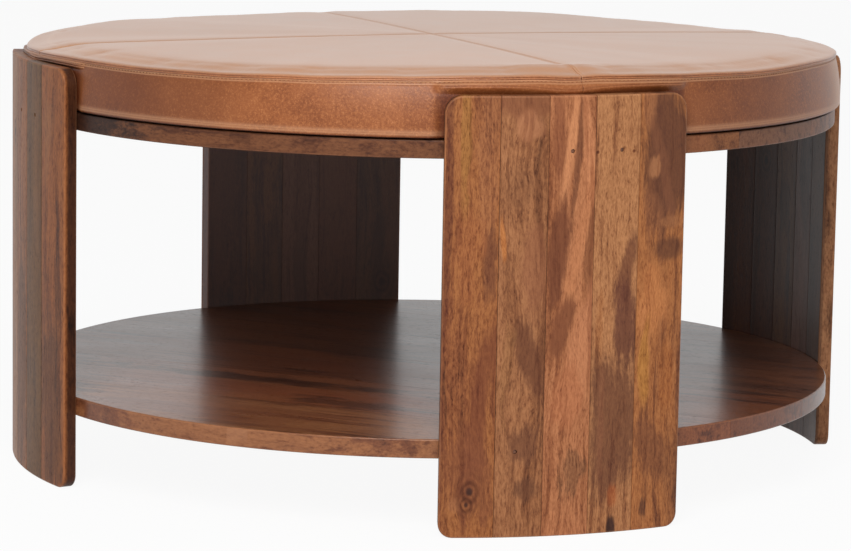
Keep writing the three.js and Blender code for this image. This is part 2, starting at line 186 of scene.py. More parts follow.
class Value:
    """A socket of a node tree. Arithmetic on it adds Math nodes."""

    def __init__(self, nodes, socket):
        self.nodes = nodes
        self.socket = socket

    def maths(self, operation, *values):
        return self.nodes.node("ShaderNodeMath", {"operation": operation}, dict(enumerate(values)))

    __add__, __radd__ = by_node("ADD"), by_node("ADD", True)
    __sub__, __rsub__ = by_node("SUBTRACT"), by_node("SUBTRACT", True)
    __mul__, __rmul__ = by_node("MULTIPLY"), by_node("MULTIPLY", True)
    __truediv__, __pow__ = by_node("DIVIDE"), by_node("POWER")
    most = by_node("MAXIMUM")

    def sine(self):
        return self.maths("SINE", self)

    def tinted(self, tint, share):
        """Multiplied by a colour from 0 to 255, as far as share says."""
        return self.nodes.mixed(self, linear(*tint), share, "MULTIPLY")

    def between(self, low, high, start=0.0, end=1.0):
        """start below low, end above high and smooth between them."""
        settings = {"interpolation_type": "SMOOTHSTEP"}
        inputs = {"Value": self, "From Min": low, "From Max": high, "To Min": start, "To Max": end}
        return self.nodes.node("ShaderNodeMapRange", settings, inputs)


def length_of(first, second):
    return (first * first + second * second) ** 0.5


class Nodes:
    """A node tree whose nodes are made by one method."""

    def __init__(self, tree):
        self.tree = tree

    def node(self, kind, settings=None, inputs=None, output=0):
        made = self.tree.nodes.new(kind)
        for name, setting in (settings or {}).items():
            setattr(made, name, setting)
        for name, value in (inputs or {}).items():
            self.feed(made.inputs[name], value)
        return Value(self, made.outputs[output])

    def feed(self, socket, value):
        if isinstance(value, Value):
            self.tree.links.new(value.socket, socket)
        else:
            socket.default_value = value

    def part_of(self, vector, axis):
        return self.node("ShaderNodeSeparateXYZ", None, {"Vector": vector}, output="XYZ".index(axis))

    def is_ray(self, kind):
        return self.node("ShaderNodeLightPath", output=f"Is {kind} Ray")


class Finish(Nodes):
    """A material of procedural nodes."""

    def __init__(self, name):
        self.material = bpy.data.materials.new(name)
        self.material.use_nodes = True
        super().__init__(self.material.node_tree)
        self.shader = self.tree.nodes["Principled BSDF"]

    def set(self, **inputs):
        for name, value in inputs.items():
            self.feed(self.shader.inputs[name.replace("_", " ").title().replace("Ior", "IOR")], value)

    def place(self, turn=0.0, shift=(0.0, 0.0, 0.0)):
        """Object coordinates, turned about +Z and then shifted."""
        spot = self.node("ShaderNodeTexCoord", output=3)
        settings = {"vector_type": "POINT"}
        return self.node("ShaderNodeMapping", settings, {"Vector": spot, "Rotation": (0, 0, turn), "Location": shift})

    def stretch(self, vector, factors):
        return self.node("ShaderNodeVectorMath", {"operation": "MULTIPLY"}, {0: vector, 1: factors})

    def joined(self, x, y, z):
        return self.node("ShaderNodeCombineXYZ", None, {"X": x, "Y": y, "Z": z})

    def noise(self, vector, factors, detail, roughness=0.5):
        """Noise at a place that is stretched by factors."""
        inputs = {"Vector": self.stretch(vector, factors), "Scale": 1.0, "Detail": detail, "Roughness": roughness}
        return self.node("ShaderNodeTexNoise", None, inputs)

    def mixed(self, first, second, share, blend_type="MIX"):
        """first where share is 0, second where it is 1."""
        settings = {"data_type": "RGBA", "blend_type": blend_type, "clamp_factor": True}
        return self.node("ShaderNodeMix", settings, {0: share, 6: first, 7: second}, output=2)

    def mark(self, name):
        """A value that a mesh carries under that name."""
        return self.node("ShaderNodeAttribute", {"attribute_type": "GEOMETRY", "attribute_name": name}, output=2)

    def bumps(self, height, distance, strength=1.0):
        return self.node("ShaderNodeBump", None, {"Height": height, "Distance": distance, "Strength": strength})


# Wood finishes. A board's own place runs across it, through it and along its grain.
def in_metres(row):
    return [number / 1000 for number in row]


class Patch:
    """A soft spot on a board's face: its middle across and along and its half sizes in millimetres, its colour from 0
    to 255, how strong it is, how ragged its outline is, how free of fibres, and how far it leans across for each metre
    along."""

    def __init__(self, across, along, wide, long, colour, strength=0.8, ragged=0.5, smooth=0.0, lean=0.0):
        self.across, self.along, self.wide, self.long = in_metres((across, along, wide, long))
        self.colour = linear(*colour)
        self.strength, self.ragged, self.smooth, self.lean = strength, ragged, smooth, lean


class Board:
    """How one stave or plank looks: its dark, middle and light colours from 0 to 255, how wavy, striped and flecked it
    is, and the marks on it. A knot is a place and a size and a pin is a place, in millimetres."""

    def __init__(self, dark, middle, light, wave, stripes, flecks, *patches, knots=(), pins=()):
        self.dark, self.middle, self.light = linear(*dark), linear(*middle), linear(*light)
        self.wave, self.stripes, self.flecks = wave, stripes, flecks
        self.patches = patches
        self.knots = [in_metres(row) for row in knots]
        self.pins = [in_metres(row) for row in pins]


def wood_finish(name, board, grain_place, seed, gloss_roughness, specular, coat, fibres, inner_stain_and_shade=None):
    """grain_place(finish) gives the place as across, through and along the grain. The last argument says how dark a leg
    is further in than its outer face, partly more stain and partly painted shade, how grey, and how far in that begins."""
    finish = Finish(name)
    place = grain_place(finish)
    across, through, along = (finish.part_of(place, axis) for axis in "XYZ")
    shift = (seed * 1.37, seed * 2.11, seed * 0.73)
    seeded = finish.node("ShaderNodeVectorMath", {"operation": "ADD"}, {0: place, 1: shift})

    # Knots push the grain aside
    pushed = across
    knot_marks = []
    for knot_across, knot_along, size in board.knots:
        off_across = (across - knot_across) / size
        distance = length_of(off_across, (along - knot_along) / (size * 1.35))
        near = 1 - distance.between(0.4, 2.6)
        pushed = pushed - off_across * near * (size * 0.55)
        knot_marks.append((distance, near))

    # The grain wanders, more so where a board is wavy
    sway = finish.noise(seeded, (9.0, 9.0, 5.0), 3.0) - 0.5
    small_sway = finish.noise(seeded, (42.0, 42.0, 26.0), 3.0) - 0.5
    bent = pushed + sway * (0.008 + 0.03 * board.wave) + small_sway * (0.003 + 0.005 * board.wave)
    flow = finish.joined(bent + shift[0], through + shift[1], along + shift[2])

    broad = finish.noise(flow, (48.0, 30.0, 4.0), 3.0, 0.6)
    narrow = finish.noise(flow, (170.0, 110.0, 9.0), 3.0, 0.65)
    fine = finish.noise(flow, (460.0, 340.0, 96.0), 3.0, 0.75)
    short = finish.noise(flow, (760.0, 480.0, 230.0), 2.0, 0.65)
    cloud = finish.noise(seeded, (19.0, 19.0, 8.0), 4.0, 0.6)

    figure = broad * (0.5 + 0.2 * board.wave) + narrow * (0.25 + 0.3 * board.stripes) + cloud * 0.25
    level = figure.between(0.4, 0.66 + 0.08 * board.stripes)
    colour = finish.mixed(board.dark, board.middle, level.between(0.0, 0.5))
    colour = finish.mixed(colour, board.light, level.between(0.5, 1.0) * 0.85)
    ring_lines = ((broad * 0.7 + cloud * 0.3) * 95.0).sine()
    colour = colour.tinted((150, 120, 108), ring_lines.between(0.55, 1.0) * 0.3 * board.wave)

    # Soft patches of another colour, with a ragged outline that follows the grain
    smooth_wood = None
    for patch in board.patches:
        off_along = (along - patch.along) / patch.long
        leaning = bent - off_along * (patch.lean * patch.long) if patch.lean else bent
        distance = length_of((leaning - patch.across) / patch.wide, off_along)
        ragged = distance + ((narrow - 0.5) * 2.2 + (fine - 0.5) * 1.2 + (small_sway + sway) * 2.4) * patch.ragged
        covered = (1 - ragged.between(0.55, 1.15)) * patch.strength
        colour = finish.mixed(colour, patch.colour, covered)
        if patch.smooth:
            smooth_wood = covered * patch.smooth if smooth_wood is None else smooth_wood.most(covered * patch.smooth)
    rough_wood = 1.0 if smooth_wood is None else 1 - smooth_wood * 0.85

    # Fibres, dark pores and pale flecks
    fibre = ((fine - 0.5) * 1.5 + (short - 0.5) * 1.3).between(-0.36, 0.36)
    dark_fibre = colour.tinted((186, 160, 144), 1.0)
    pale_fibre = finish.mixed(colour, finish.mixed(board.light, linear(222, 150, 92), 0.35), 0.2 + 0.25 * board.flecks)
    colour = finish.mixed(colour, finish.mixed(dark_fibre, pale_fibre, fibre), rough_wood * fibres)
    streak = narrow.between(0.34, 0.48)
    colour = colour.tinted((186, 160, 148), (1 - streak) * 0.45)
    pore = (1 - fine.between(0.34, 0.46)) * (1 - short.between(0.4, 0.52))
    colour = colour.tinted((168, 136, 120), pore * rough_wood * fibres)

    for distance, near in knot_marks:
        rings = (distance * 7.0 + (cloud - 0.5) * 9.0).sine()
        colour = colour.tinted((128, 92, 78), near * (rings * 0.5 + 0.5) * 0.7)
        colour = finish.mixed(colour, linear(62, 36, 28), (1 - (distance + small_sway).between(0.2, 0.62)) * 0.85)
    for pin_across, pin_along in board.pins:
        distance = length_of(across - pin_across, along - pin_along)
        colour = colour.tinted((144, 104, 88), (1 - distance.between(0.0009, 0.0021)) * 0.9)

    # The inner faces and the sides of a leg are darker, partly from more stain and partly as painted shade
    if inner_stain_and_shade:
        share, grey, depth = inner_stain_and_shade
        inside = 1 - through.between(leg_outer_radius - depth - 0.0023, leg_outer_radius - depth + 0.0023)
        inside = inside * (1 - along.between(leg_height - 0.0012, leg_height - 0.0002) * 0.7)
        colour = colour.tinted((126, 122, 134), inside * share)
        colour = finish.mixed(colour, linear(136, 126, 126), inside * grey)

    # Eased edges: paler on the outside, partly rubbed and partly a painted highlight; darker where stain gathers in the
    # joints, and along the board's upper edge, where that is painted shade under the cushion's lip
    edge = finish.mark("edge")
    rubbed_and_highlit = edge.between(0.1, 1.0) * (0.08 + cloud * 0.35)
    colour = finish.mixed(colour, finish.mixed(board.light, linear(204, 150, 116), 0.4), rubbed_and_highlit)
    colour = colour.tinted((112, 82, 70), (0.0 - edge).between(0.1, 1.0) * (0.05 + cloud * 0.6))

    height = fine * 0.5 + short * 0.3 - pore * 0.8 + narrow * 0.4
    finish.set(
        base_color=colour,
        roughness=gloss_roughness + (cloud - 0.5) * 0.12 + (fine - 0.5) * 0.1 + pore * 0.15,
        specular_ior_level=specular,
        normal=finish.bumps(height, 0.00025, 0.5),
        coat_weight=coat,
        coat_roughness=0.16,
    )
    return finish.material


def stave_place(stave_angle):
    """On a stave, across runs round the leg to the right seen from outside, and along runs up."""
    def place(finish):
        turned = finish.place(turn=-stave_angle)
        x, y, z = (finish.part_of(turned, axis) for axis in "XYZ")
        return finish.joined(y, x, z)
    return place


def plank_place(middle):
    """On a plank, across runs to the back from its middle line and along runs to the right."""
    def place(finish):
        spot = finish.place(shift=(0.0, -middle, 0.0))
        x, y, z = (finish.part_of(spot, axis) for axis in "XYZ")
        return finish.joined(y, z, x)
    return place


# Colours of the stained wood
bark, chestnut, russet, copper = (84, 50, 36), (120, 74, 49), (142, 86, 56), (170, 108, 70)
honey, ash_brown, pale_rose = (180, 122, 68), (132, 92, 64), (196, 138, 104)

# The front leg's staves, from left to right, as the photograph shows them
front_leg_boards = [
    Board(
        (92, 50, 32), (130, 74, 44), (162, 102, 58), 0.35, 0.6, 1,
        Patch(-22.5, 210, 5, 250, (96, 46, 30), 0.85, 0.35, 0.4), Patch(-8, 365, 5, 60, (160, 114, 54), 0.6, 0.6),
        Patch(14, 355, 12, 70, (164, 108, 72), 0.5, 0.7), Patch(18, 250, 8, 35, (104, 58, 38), 0.85, 0.5, 0.7),
        Patch(-4, 255, 14, 35, (156, 92, 54), 0.5, 0.9), Patch(12, 120, 12, 100, (116, 62, 38), 0.85, 0.4, 0.85, 0.12),
        Patch(0, 60, 26, 50, (128, 74, 48), 0.65, 0.5, 0.7), Patch(-10, 30, 8, 9, (164, 108, 72), 0.6, 0.5, 0.4),
        knots=[(3, 43, 6.8), (0, 31, 4.6)],
    ),
    Board(
        (98, 62, 40), (138, 88, 56), (168, 114, 76), 0.8, 0.35, 0.7,
        Patch(0, 400, 30, 18, (132, 80, 52), 0.85, 0.4, 0.9), Patch(3, 378, 13, 14, (176, 118, 82), 0.75, 0.5, 0.7),
        Patch(-2, 325, 18, 30, (126, 82, 54), 0.45, 0.7, 0.3), Patch(-17.5, 277, 3.2, 22, (196, 124, 66), 0.85, 0.4),
        Patch(10, 250, 13, 50, (146, 92, 62), 0.75, 0.4, 0.8),
        Patch(6, 165, 12, 35, (106, 62, 40), 0.9, 0.4, 0.85, -0.2), Patch(-15, 150, 6, 60, (158, 110, 70), 0.6, 0.8),
        Patch(4, 85, 16, 22, (104, 62, 42), 0.8, 0.6, 0.7), Patch(8, 45, 14, 14, (96, 58, 40), 0.7, 0.4, 0.8),
        Patch(-10, 60, 6, 30, (150, 100, 66), 0.5, 0.7),
    ),
    Board(
        (120, 70, 42), (150, 92, 58), (188, 124, 84), 0.7, 0.3, 0.4,
        Patch(-15, 375, 7, 45, (134, 78, 50), 0.8, 0.4, 0.8),
        Patch(-3, 366, 5.2, 55, (206, 140, 96), 0.85, 0.4, 0.5, 0.167),
        Patch(3, 350, 3.6, 62, (116, 68, 44), 0.85, 0.35, 0.7, 0.122),
        Patch(13.7, 352, 5.6, 62, (200, 134, 92), 0.85, 0.4, 0.4, -0.03),
        Patch(-15, 262, 9, 50, (116, 66, 42), 0.95, 0.3, 0.9, 0.1),
        Patch(3, 262, 7, 66, (192, 126, 84), 0.8, 0.55, 0.4, 0.203),
        Patch(16, 268, 6, 40, (132, 80, 50), 0.8, 0.4, 0.8, 0.1),
        Patch(-12, 195, 10, 30, (122, 70, 44), 0.9, 0.3, 0.85, 0.3),
        Patch(8, 170, 14, 60, (196, 130, 90), 0.8, 0.4, 0.4, 0.2),
        Patch(-6, 125, 14, 30, (180, 112, 74), 0.7, 0.5, 0.3), Patch(6, 55, 12, 26, (112, 76, 52), 0.65, 0.9),
    ),
    Board(
        (96, 56, 38), (142, 90, 58), (188, 132, 88), 0.3, 1, 1,
        Patch(11, 245, 8.5, 46, (108, 62, 42), 0.85, 0.45, 0.8, 0.28),
        Patch(9, 195, 12, 48, (100, 56, 42), 0.9, 0.45, 0.9), Patch(-14, 190, 5, 40, (172, 112, 68), 0.7, 0.6),
        Patch(0, 100, 30, 85, (100, 58, 40), 0.85, 0.4, 0.8), Patch(-12, 100, 4, 50, (134, 84, 58), 0.6, 0.6, 0.4),
        Patch(6, 33, 8, 14, (166, 90, 48), 0.8, 0.5, 0.4), Patch(4, 6, 6.2, 13, (50, 26, 24), 0.95, 0.25, 1),
        pins=[(-20.6, 354), (16, 354)],
    ),
    Board(
        (92, 54, 38), (134, 82, 52), (180, 116, 68), 0.9, 0.25, 0.5,
        Patch(4, 350, 30, 75, (98, 58, 40), 0.95, 0.35, 0.9), Patch(-19, 395, 6, 20, (160, 104, 68), 0.7, 0.6, 0.5),
        Patch(0, 325, 6, 50, (132, 82, 56), 0.45, 0.8, 0.7, -0.3),
        Patch(-13.5, 337, 6, 10, (178, 120, 80), 0.7, 0.8, 0.4),
        Patch(-10, 295, 10, 20, (142, 90, 60), 0.5, 0.7, 0.5, -0.3),
        Patch(10, 287, 16, 6, (156, 102, 66), 0.65, 0.12, 0.5), Patch(10, 262, 22, 13, (96, 56, 38), 0.85, 0.14, 0.8),
        Patch(-4, 212, 22, 38, (200, 130, 78), 0.85, 0.6, 0.1), Patch(12, 150, 12, 50, (172, 104, 54), 0.6, 0.6),
        Patch(-15, 155, 7, 42, (188, 130, 62), 0.85, 0.35), Patch(-6, 75, 18, 40, (118, 70, 46), 0.8, 0.5, 0.5, -0.2),
        Patch(16, 60, 8, 50, (148, 94, 58), 0.6, 0.6), Patch(-13, 20, 6, 12, (78, 44, 34), 0.75, 0.5, 0.6),
    ),
]


def plain_boards(number):
    """Seeded looks for the staves of a leg that the photograph shows less of."""
    chance = random.Random(number)
    tones = [
        (bark, chestnut, russet),
        ((96, 58, 42), russet, copper),
        ((92, 60, 44), ash_brown, (168, 118, 82)),
        ((104, 62, 42), (150, 92, 60), pale_rose),
        ((88, 52, 38), (130, 80, 52), honey),
    ]
    chance.shuffle(tones)
    boards = []
    for dark, middle, light in tones:
        patches = []
        for _ in range(4):
            spot = (chance.uniform(-20, 20), chance.uniform(40, 380))
            size = (chance.uniform(5, 16), chance.uniform(30, 100))
            patches.append(Patch(*spot, *size, chance.choice([dark, light, middle]), 0.6, 0.7, chance.random()))
        knots = []
        if chance.random() < 0.3:
            knots.append((chance.uniform(-10, 10), chance.uniform(60, 340), 7))
        looks = [chance.uniform(0.25, 1.0) for _ in range(3)]
        boards.append(Board(dark, middle, light, *looks, *patches, knots=knots))
    return boards


# The left leg's staves. The photograph shows the last three from the side.
left_leg_boards = plain_boards(3)[:2] + [
    Board(
        (96, 56, 30), (134, 82, 44), (162, 102, 58), 0.5, 0.6, 0.5,
        Patch(0, 100, 30, 140, (84, 50, 28), 0.7, 0.6, 0.3),
    ),
    Board(
        (60, 40, 20), (88, 58, 30), (112, 76, 40), 0.5, 0.6, 0.5,
        Patch(8, 300, 10, 80, (124, 84, 50), 0.7, 0.6, 0.3),
    ),
    Board(
        (96, 52, 28), (130, 74, 38), (156, 94, 52), 0.5, 0.6, 0.5,
        Patch(-8, 340, 12, 60, (154, 104, 68), 0.6, 0.6, 0.3), Patch(0, 90, 30, 120, (88, 54, 34), 0.75, 0.6, 0.3),
    ),
]

shelf_boards = [
    Board(
        (78, 42, 28), (118, 68, 44), (160, 104, 66), 0.4, 0.6, 0.5,
        Patch(0, -60, 50, 160, (132, 76, 48), 0.6, 0.7, 0.5), Patch(0, -270, 60, 60, (84, 46, 34), 0.7, 0.6, 0.5),
    ),
    Board(
        (58, 30, 22), (104, 54, 34), (144, 84, 52), 0.9, 0.6, 0.4,
        Patch(-20, -80, 30, 180, (134, 72, 44), 0.75, 0.8, 0.4), Patch(30, -120, 20, 200, (58, 32, 24), 0.8, 0.7, 0.4),
        Patch(-45, 50, 20, 120, (64, 34, 26), 0.7, 0.8, 0.4), Patch(0, -330, 80, 50, (80, 44, 32), 0.8, 0.6, 0.4),
    ),
    Board(
        (50, 28, 22), (92, 48, 32), (130, 74, 46), 0.9, 0.5, 0.3,
        Patch(0, -50, 40, 140, (112, 58, 36), 0.7, 0.8, 0.4), Patch(-40, 250, 30, 100, (140, 80, 44), 0.6, 0.8, 0.4),
    ),
    Board((54, 30, 22), (84, 46, 32), (118, 70, 46), 0.7, 0.6, 0.3),
    Board((48, 28, 22), (80, 44, 32), (112, 66, 44), 0.8, 0.5, 0.3),
    Board((56, 34, 24), (92, 54, 38), (124, 76, 50), 0.5, 0.6, 0.4),
]

# The board's planks, darkened partly as darker stain and partly as painted shade from the cushion's lip, with dark
# patches towards the left on the first two
board_boards = [
    Board(
        (56, 30, 20), (88, 50, 32), (116, 72, 46), 0.5, 0.6, 0.4,
        Patch(0, -220, 80, 120, (40, 21, 16), 0.95, 0.5, 0.6),
    ),
    Board(
        (72, 40, 26), (106, 62, 38), (142, 90, 56), 0.6, 0.5, 0.4,
        Patch(0, -320, 80, 90, (44, 24, 18), 0.95, 0.5, 0.5), Patch(0, 360, 60, 12, (148, 92, 60), 0.7, 0.4, 0.6),
    ),
    Board((60, 38, 30), (96, 62, 46), (126, 86, 64), 0.5, 0.5, 0.3),
    Board((70, 42, 30), (104, 64, 44), (134, 86, 58), 0.6, 0.5, 0.4),
    Board((72, 42, 30), (108, 66, 44), (140, 90, 60), 0.7, 0.5, 0.4),
    Board((74, 46, 32), (110, 70, 48), (142, 94, 64), 0.5, 0.6, 0.4),
]


# Other finishes
def leather_finish(name, seed, coat, crease_shade_tone):
    """The last argument says how much darker the leather is painted in its folds and hollows, as painted shade."""
    finish = Finish(name)
    place = finish.place(shift=(seed * 0.31, seed * 0.17, 0.0))
    blotch = finish.noise(place, (6.5, 6.5, 9.0), 3.0, 0.5)
    mottle = finish.noise(place, (30.0, 30.0, 30.0), 4.0, 0.6)
    speckle = finish.noise(place, (420.0, 420.0, 420.0), 3.0, 0.75)
    grit = finish.noise(place, (980.0, 980.0, 980.0), 2.0, 0.6)
    pebble = finish.node(
        "ShaderNodeTexVoronoi", {"feature": "SMOOTH_F1"}, {"Vector": place, "Scale": 620.0, "Smoothness": 0.6}
    )
    tone = blotch * 0.7 + mottle * 0.4 + (speckle - 0.5) * 0.45
    colour = finish.mixed(linear(134, 72, 34), linear(170, 102, 56), tone.between(0.36, 0.6))
    colour = finish.mixed(colour, linear(188, 120, 72), tone.between(0.56, 0.78) * 0.8)
    dark_speck = (speckle * 0.6 + grit * 0.5).between(0.56, 0.68)
    colour = colour.tinted((188, 160, 144), (1 - dark_speck) * 0.3)
    pale_speck = (speckle * 0.55 + grit * 0.45).between(0.52, 0.64)
    colour = finish.mixed(colour, linear(214, 150, 100), pale_speck * 0.16)
    # Painted light: the top and its roll are mixed towards a pale tan, for the bright surroundings they reflect and the
    # light from above
    colour = finish.mixed(colour, linear(218, 160, 118), finish.mark("painted_top_light") * 0.75)
    # Painted shade where the shade mark says, strongest on the band's sides
    colour = colour.tinted((166, 148, 136), finish.mark("shade") * (0.6 + blotch * 0.8))
    crease_shade = finish.mark("crease_shade")
    rubbed_and_highlit = finish.mark("rubbed_and_highlit")
    # Painted shade in the folds of the seams, in the undercut above the legs and under the hem
    colour = colour.tinted((136, 78, 70), crease_shade.between(0.0, 1.0) * crease_shade_tone)
    colour = colour.tinted((60, 48, 44), (crease_shade - 1.0) * 1.6)
    # Paler on ridges, the lip, the roll's crest and the band: partly wear, partly a painted highlight and reflection
    colour = finish.mixed(colour, linear(218, 164, 124), rubbed_and_highlit.between(0.0, 1.0) * 0.6)
    height = pebble * 0.8 + grit * 0.35 + speckle * 0.6
    finish.set(
        base_color=colour,
        roughness=0.4 + (mottle - 0.5) * 0.12 + (speckle - 0.5) * 0.2 + crease_shade * 0.1,
        specular_ior_level=0.3,
        normal=finish.bumps(height, 0.0003, 0.35),
        coat_weight=coat,
        coat_roughness=0.28,
    )
    return finish.material


def thread_finish(name):
    finish = Finish(name)
    place = finish.place()
    twist = finish.noise(place, (1500.0, 1500.0, 1500.0), 2.0)
    wear = finish.noise(place, (40.0, 40.0, 40.0), 2.0)
    colour = finish.mixed(linear(160, 108, 70), linear(206, 158, 114), (twist * 0.6 + wear * 0.4).between(0.3, 0.7))
    finish.set(base_color=colour, roughness=0.62 + twist * 0.2, normal=finish.bumps(twist, 0.0002, 0.6))
    return finish.material


def plywood_finish():
    finish = Finish("plywood")
    place = finish.place()
    grain = finish.noise(place, (9.0, 160.0, 160.0), 4.0, 0.6)
    height = finish.part_of(place, "Z") * 1500.0
    plies = height.maths("PINGPONG", height, 1.0)
    colour = finish.mixed(linear(176, 132, 86), linear(214, 176, 128), grain.between(0.3, 0.7))
    colour = colour.tinted((176, 140, 104), plies.between(0.4, 0.6) * 0.4)
    finish.set(base_color=colour, roughness=0.6 + grain * 0.2, normal=finish.bumps(grain, 0.0003, 0.4))
    return finish.material


def foam_finish():
    finish = Finish("foam")
    place = finish.place()
    cells = finish.node("ShaderNodeTexVoronoi", None, {"Vector": place, "Scale": 900.0})
    age = finish.noise(place, (12.0, 12.0, 12.0), 3.0)
    colour = finish.mixed(linear(238, 230, 204), linear(220, 202, 158), age.between(0.35, 0.7))
    finish.set(base_color=colour, roughness=0.85 + age * 0.1, normal=finish.bumps(cells, 0.0006, 0.7))
    return finish.material


def liner_finish():
    finish = Finish("black_liner")
    place = finish.place()
    fluff = finish.noise(place, (700.0, 700.0, 700.0), 3.0)
    colour = finish.mixed(linear(22, 20, 19), linear(46, 43, 40), fluff.between(0.35, 0.7))
    finish.set(base_color=colour, roughness=0.85 + fluff * 0.1, normal=finish.bumps(fluff, 0.0004, 0.6))
    return finish.material


def steel_finish(name, dark, light, metallic):
    finish = Finish(name)
    place = finish.place()
    scuff = finish.noise(place, (420.0, 420.0, 60.0), 3.0)
    colour = finish.mixed(dark, light, scuff.between(0.3, 0.7))
    relief = finish.bumps(scuff, 0.0001, 0.4)
    finish.set(base_color=colour, metallic=metallic, roughness=0.3 + scuff * 0.3, normal=relief)
    return finish.material


# Pieces
def piece_from(bm, name, material, stands_for):
    """Makes a bmesh an object that rides on the table and stands for its CAD nodes."""
    mesh = bpy.data.meshes.new(name)
    for face in bm.faces:
        face.smooth = True
    bm.to_mesh(mesh)
    bm.free()
    made = bpy.data.objects.new(name, mesh)
    bpy.context.scene.collection.objects.link(made)
    mesh.materials.append(material)
    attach(made, "root")
    if stands_for:
        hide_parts(*stands_for)
    return made


def keep_flats_flat(made):
    """Shading normals follow the large faces, so that only the eased edges look round."""
    modifier = made.modifiers.new("weighted normals", "WEIGHTED_NORMAL")
    modifier.keep_sharp = True
    modifier.weight = 50


def everything(bm):
    return bm.verts[:] + bm.edges[:] + bm.faces[:]


def edges_at(bm, test):
    return [edge for edge in bm.edges if all(test(vertex.co) for vertex in edge.verts)]


def round_edges(bm, edges, radius, segments, mark=None, value=0.0):
    """Bevels edges, and marks the new faces' corners with a value."""
    made = bmesh.ops.bevel(
        bm, geom=edges, offset=radius, offset_type="OFFSET", segments=segments, profile=0.5, affect="EDGES",
        material=-1, clamp_overlap=True
    )
    if mark is not None:
        for loop in [loop for face in made["faces"] for loop in face.loops]:
            loop[mark] = value


def same(first, second):
    return abs(first - second) < tiny


def stave_spans():
    widths = [edge_stave_width, *[middle_stave_width] * 3, edge_stave_width]
    starts = [sum(widths[:index]) - leg_width / 2 for index in range(len(widths))]
    return [(start, start + width) for start, width in zip(starts, widths)]


def make_stave(leg, number, material):
    """The blank is shaped flat, with x across, y outwards from the outer face and z up, and is then bent."""
    start, end = stave_spans()[number - 1]
    first, last = number == 1, number == 5
    left = start + (0 if first else touching_gap / 2)
    right = end - (0 if last else touching_gap / 2)
    bm = bmesh.new()
    edge_mark = bm.loops.layers.float.new("edge")
    bmesh.ops.create_cube(bm, size=1)
    bmesh.ops.scale(bm, vec=(right - left, leg_thickness, leg_height), verts=bm.verts)
    bmesh.ops.translate(bm, vec=((left + right) / 2, -leg_thickness / 2, leg_height / 2), verts=bm.verts)
    outer_sides = ([left] if first else []) + ([right] if last else [])
    joint_sides = ([] if first else [left]) + ([] if last else [right])
    for side in outer_sides:
        for height, radius in ((leg_height, leg_top_corner_radius), (0.0, leg_foot_corner_radius)):
            corner = edges_at(bm, lambda co: same(co.x, side) and same(co.z, height))
            round_edges(bm, corner, radius, corner_segments)
    for face_y in (0.0, -leg_thickness):
        outline = edges_at(bm, lambda co: same(co.y, face_y))
        joints = [edge for side in joint_sides for edge in edges_at(bm, lambda co: same(co.x, side)) if edge in outline]
        free = [edge for edge in outline if edge not in joints]
        round_edges(bm, free, leg_arris_radius, arris_segments, edge_mark, 1.0)
    cuts = [left + (right - left) * cut / stave_cuts for cut in range(1, stave_cuts)]
    cuts += [side + (stave_joint_easing if side == left else -stave_joint_easing) for side in joint_sides]
    for spot in cuts:
        bmesh.ops.bisect_plane(bm, geom=everything(bm), plane_co=(spot, 0, 0), plane_no=(1, 0, 0))
    for side in joint_sides:
        ease_joint(bm, side, edge_mark)
    bend_to_leg(bm, leg_angles[leg])
    bmesh.ops.recalc_face_normals(bm, faces=bm.faces)
    node = f"{leg_names[leg]}_leg_stave_{number}"
    made = piece_from(bm, f"{node}_wood", material, [node])
    for nail in nails_in(leg, left, right):
        bore_for(made, nail)
    keep_flats_flat(made)


def ease_joint(bm, side, edge_mark):
    """Draws the two long edges of a glue joint in, to leave a fine groove between staves."""
    for vertex in bm.verts:
        if same(vertex.co.x, side):
            outside = vertex.co.y > -leg_thickness / 2
            vertex.co.y += -stave_joint_depth if outside else stave_joint_depth
            for loop in vertex.link_loops:
                if not all(same(corner.co.x, side) for corner in loop.face.verts):
                    loop[edge_mark] = -1.0
    for edge in edges_at(bm, lambda co: same(co.x, side)):
        edge.smooth = False


def bend_to_leg(bm, angle):
    for vertex in bm.verts:
        turn = angle + vertex.co.x / leg_outer_radius
        vertex.co = round_about(turn, leg_outer_radius + vertex.co.y, vertex.co.z)


def nails_in(leg, left, right):
    """The leg's nails that go through a stave between two places across the leg."""
    found = []
    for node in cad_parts:
        if node.startswith(f"{leg_names[leg]}_leg_") and "nail" in node:
            low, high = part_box(node)
            middle = (low + high) / 2
            turn = angle_between(math.atan2(middle.y, middle.x), leg_angles[leg])
            if left < turn * leg_outer_radius < right:
                found.append(node)
    return found


def bore_for(made, nail):
    """Cuts a nail's hole through a stave, along the nail's own radius."""
    low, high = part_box(nail)
    middle = (low + high) / 2
    outwards = Vector((middle.x, middle.y, 0)).normalized()
    bm = bmesh.new()
    bmesh.ops.create_cone(
        bm, cap_ends=True, segments=20, radius1=nail_bore_radius, radius2=nail_bore_radius, depth=4 * leg_thickness
    )
    turn = Vector((0, 0, 1)).rotation_difference(outwards).to_matrix()
    bmesh.ops.rotate(bm, cent=(0, 0, 0), matrix=turn, verts=bm.verts)
    bmesh.ops.translate(bm, vec=outwards * leg_outer_radius + Vector((0, 0, middle.z)), verts=bm.verts)
    mesh = bpy.data.meshes.new("nail_bore")
    bm.to_mesh(mesh)
    bm.free()
    cutter = bpy.data.objects.new("nail_bore", mesh)
    bpy.context.scene.collection.objects.link(cutter)
    modifier = made.modifiers.new("nail bore", "BOOLEAN")
    modifier.operation, modifier.solver, modifier.object = "DIFFERENCE", "EXACT", cutter
    apply_modifiers(made)
    bpy.data.objects.remove(cutter)


def apply_modifiers(made):
    bpy.context.view_layer.update()
    shaped = bpy.data.meshes.new_from_object(made.evaluated_get(bpy.context.evaluated_depsgraph_get()))
    made.modifiers.clear()
    made.data = shaped


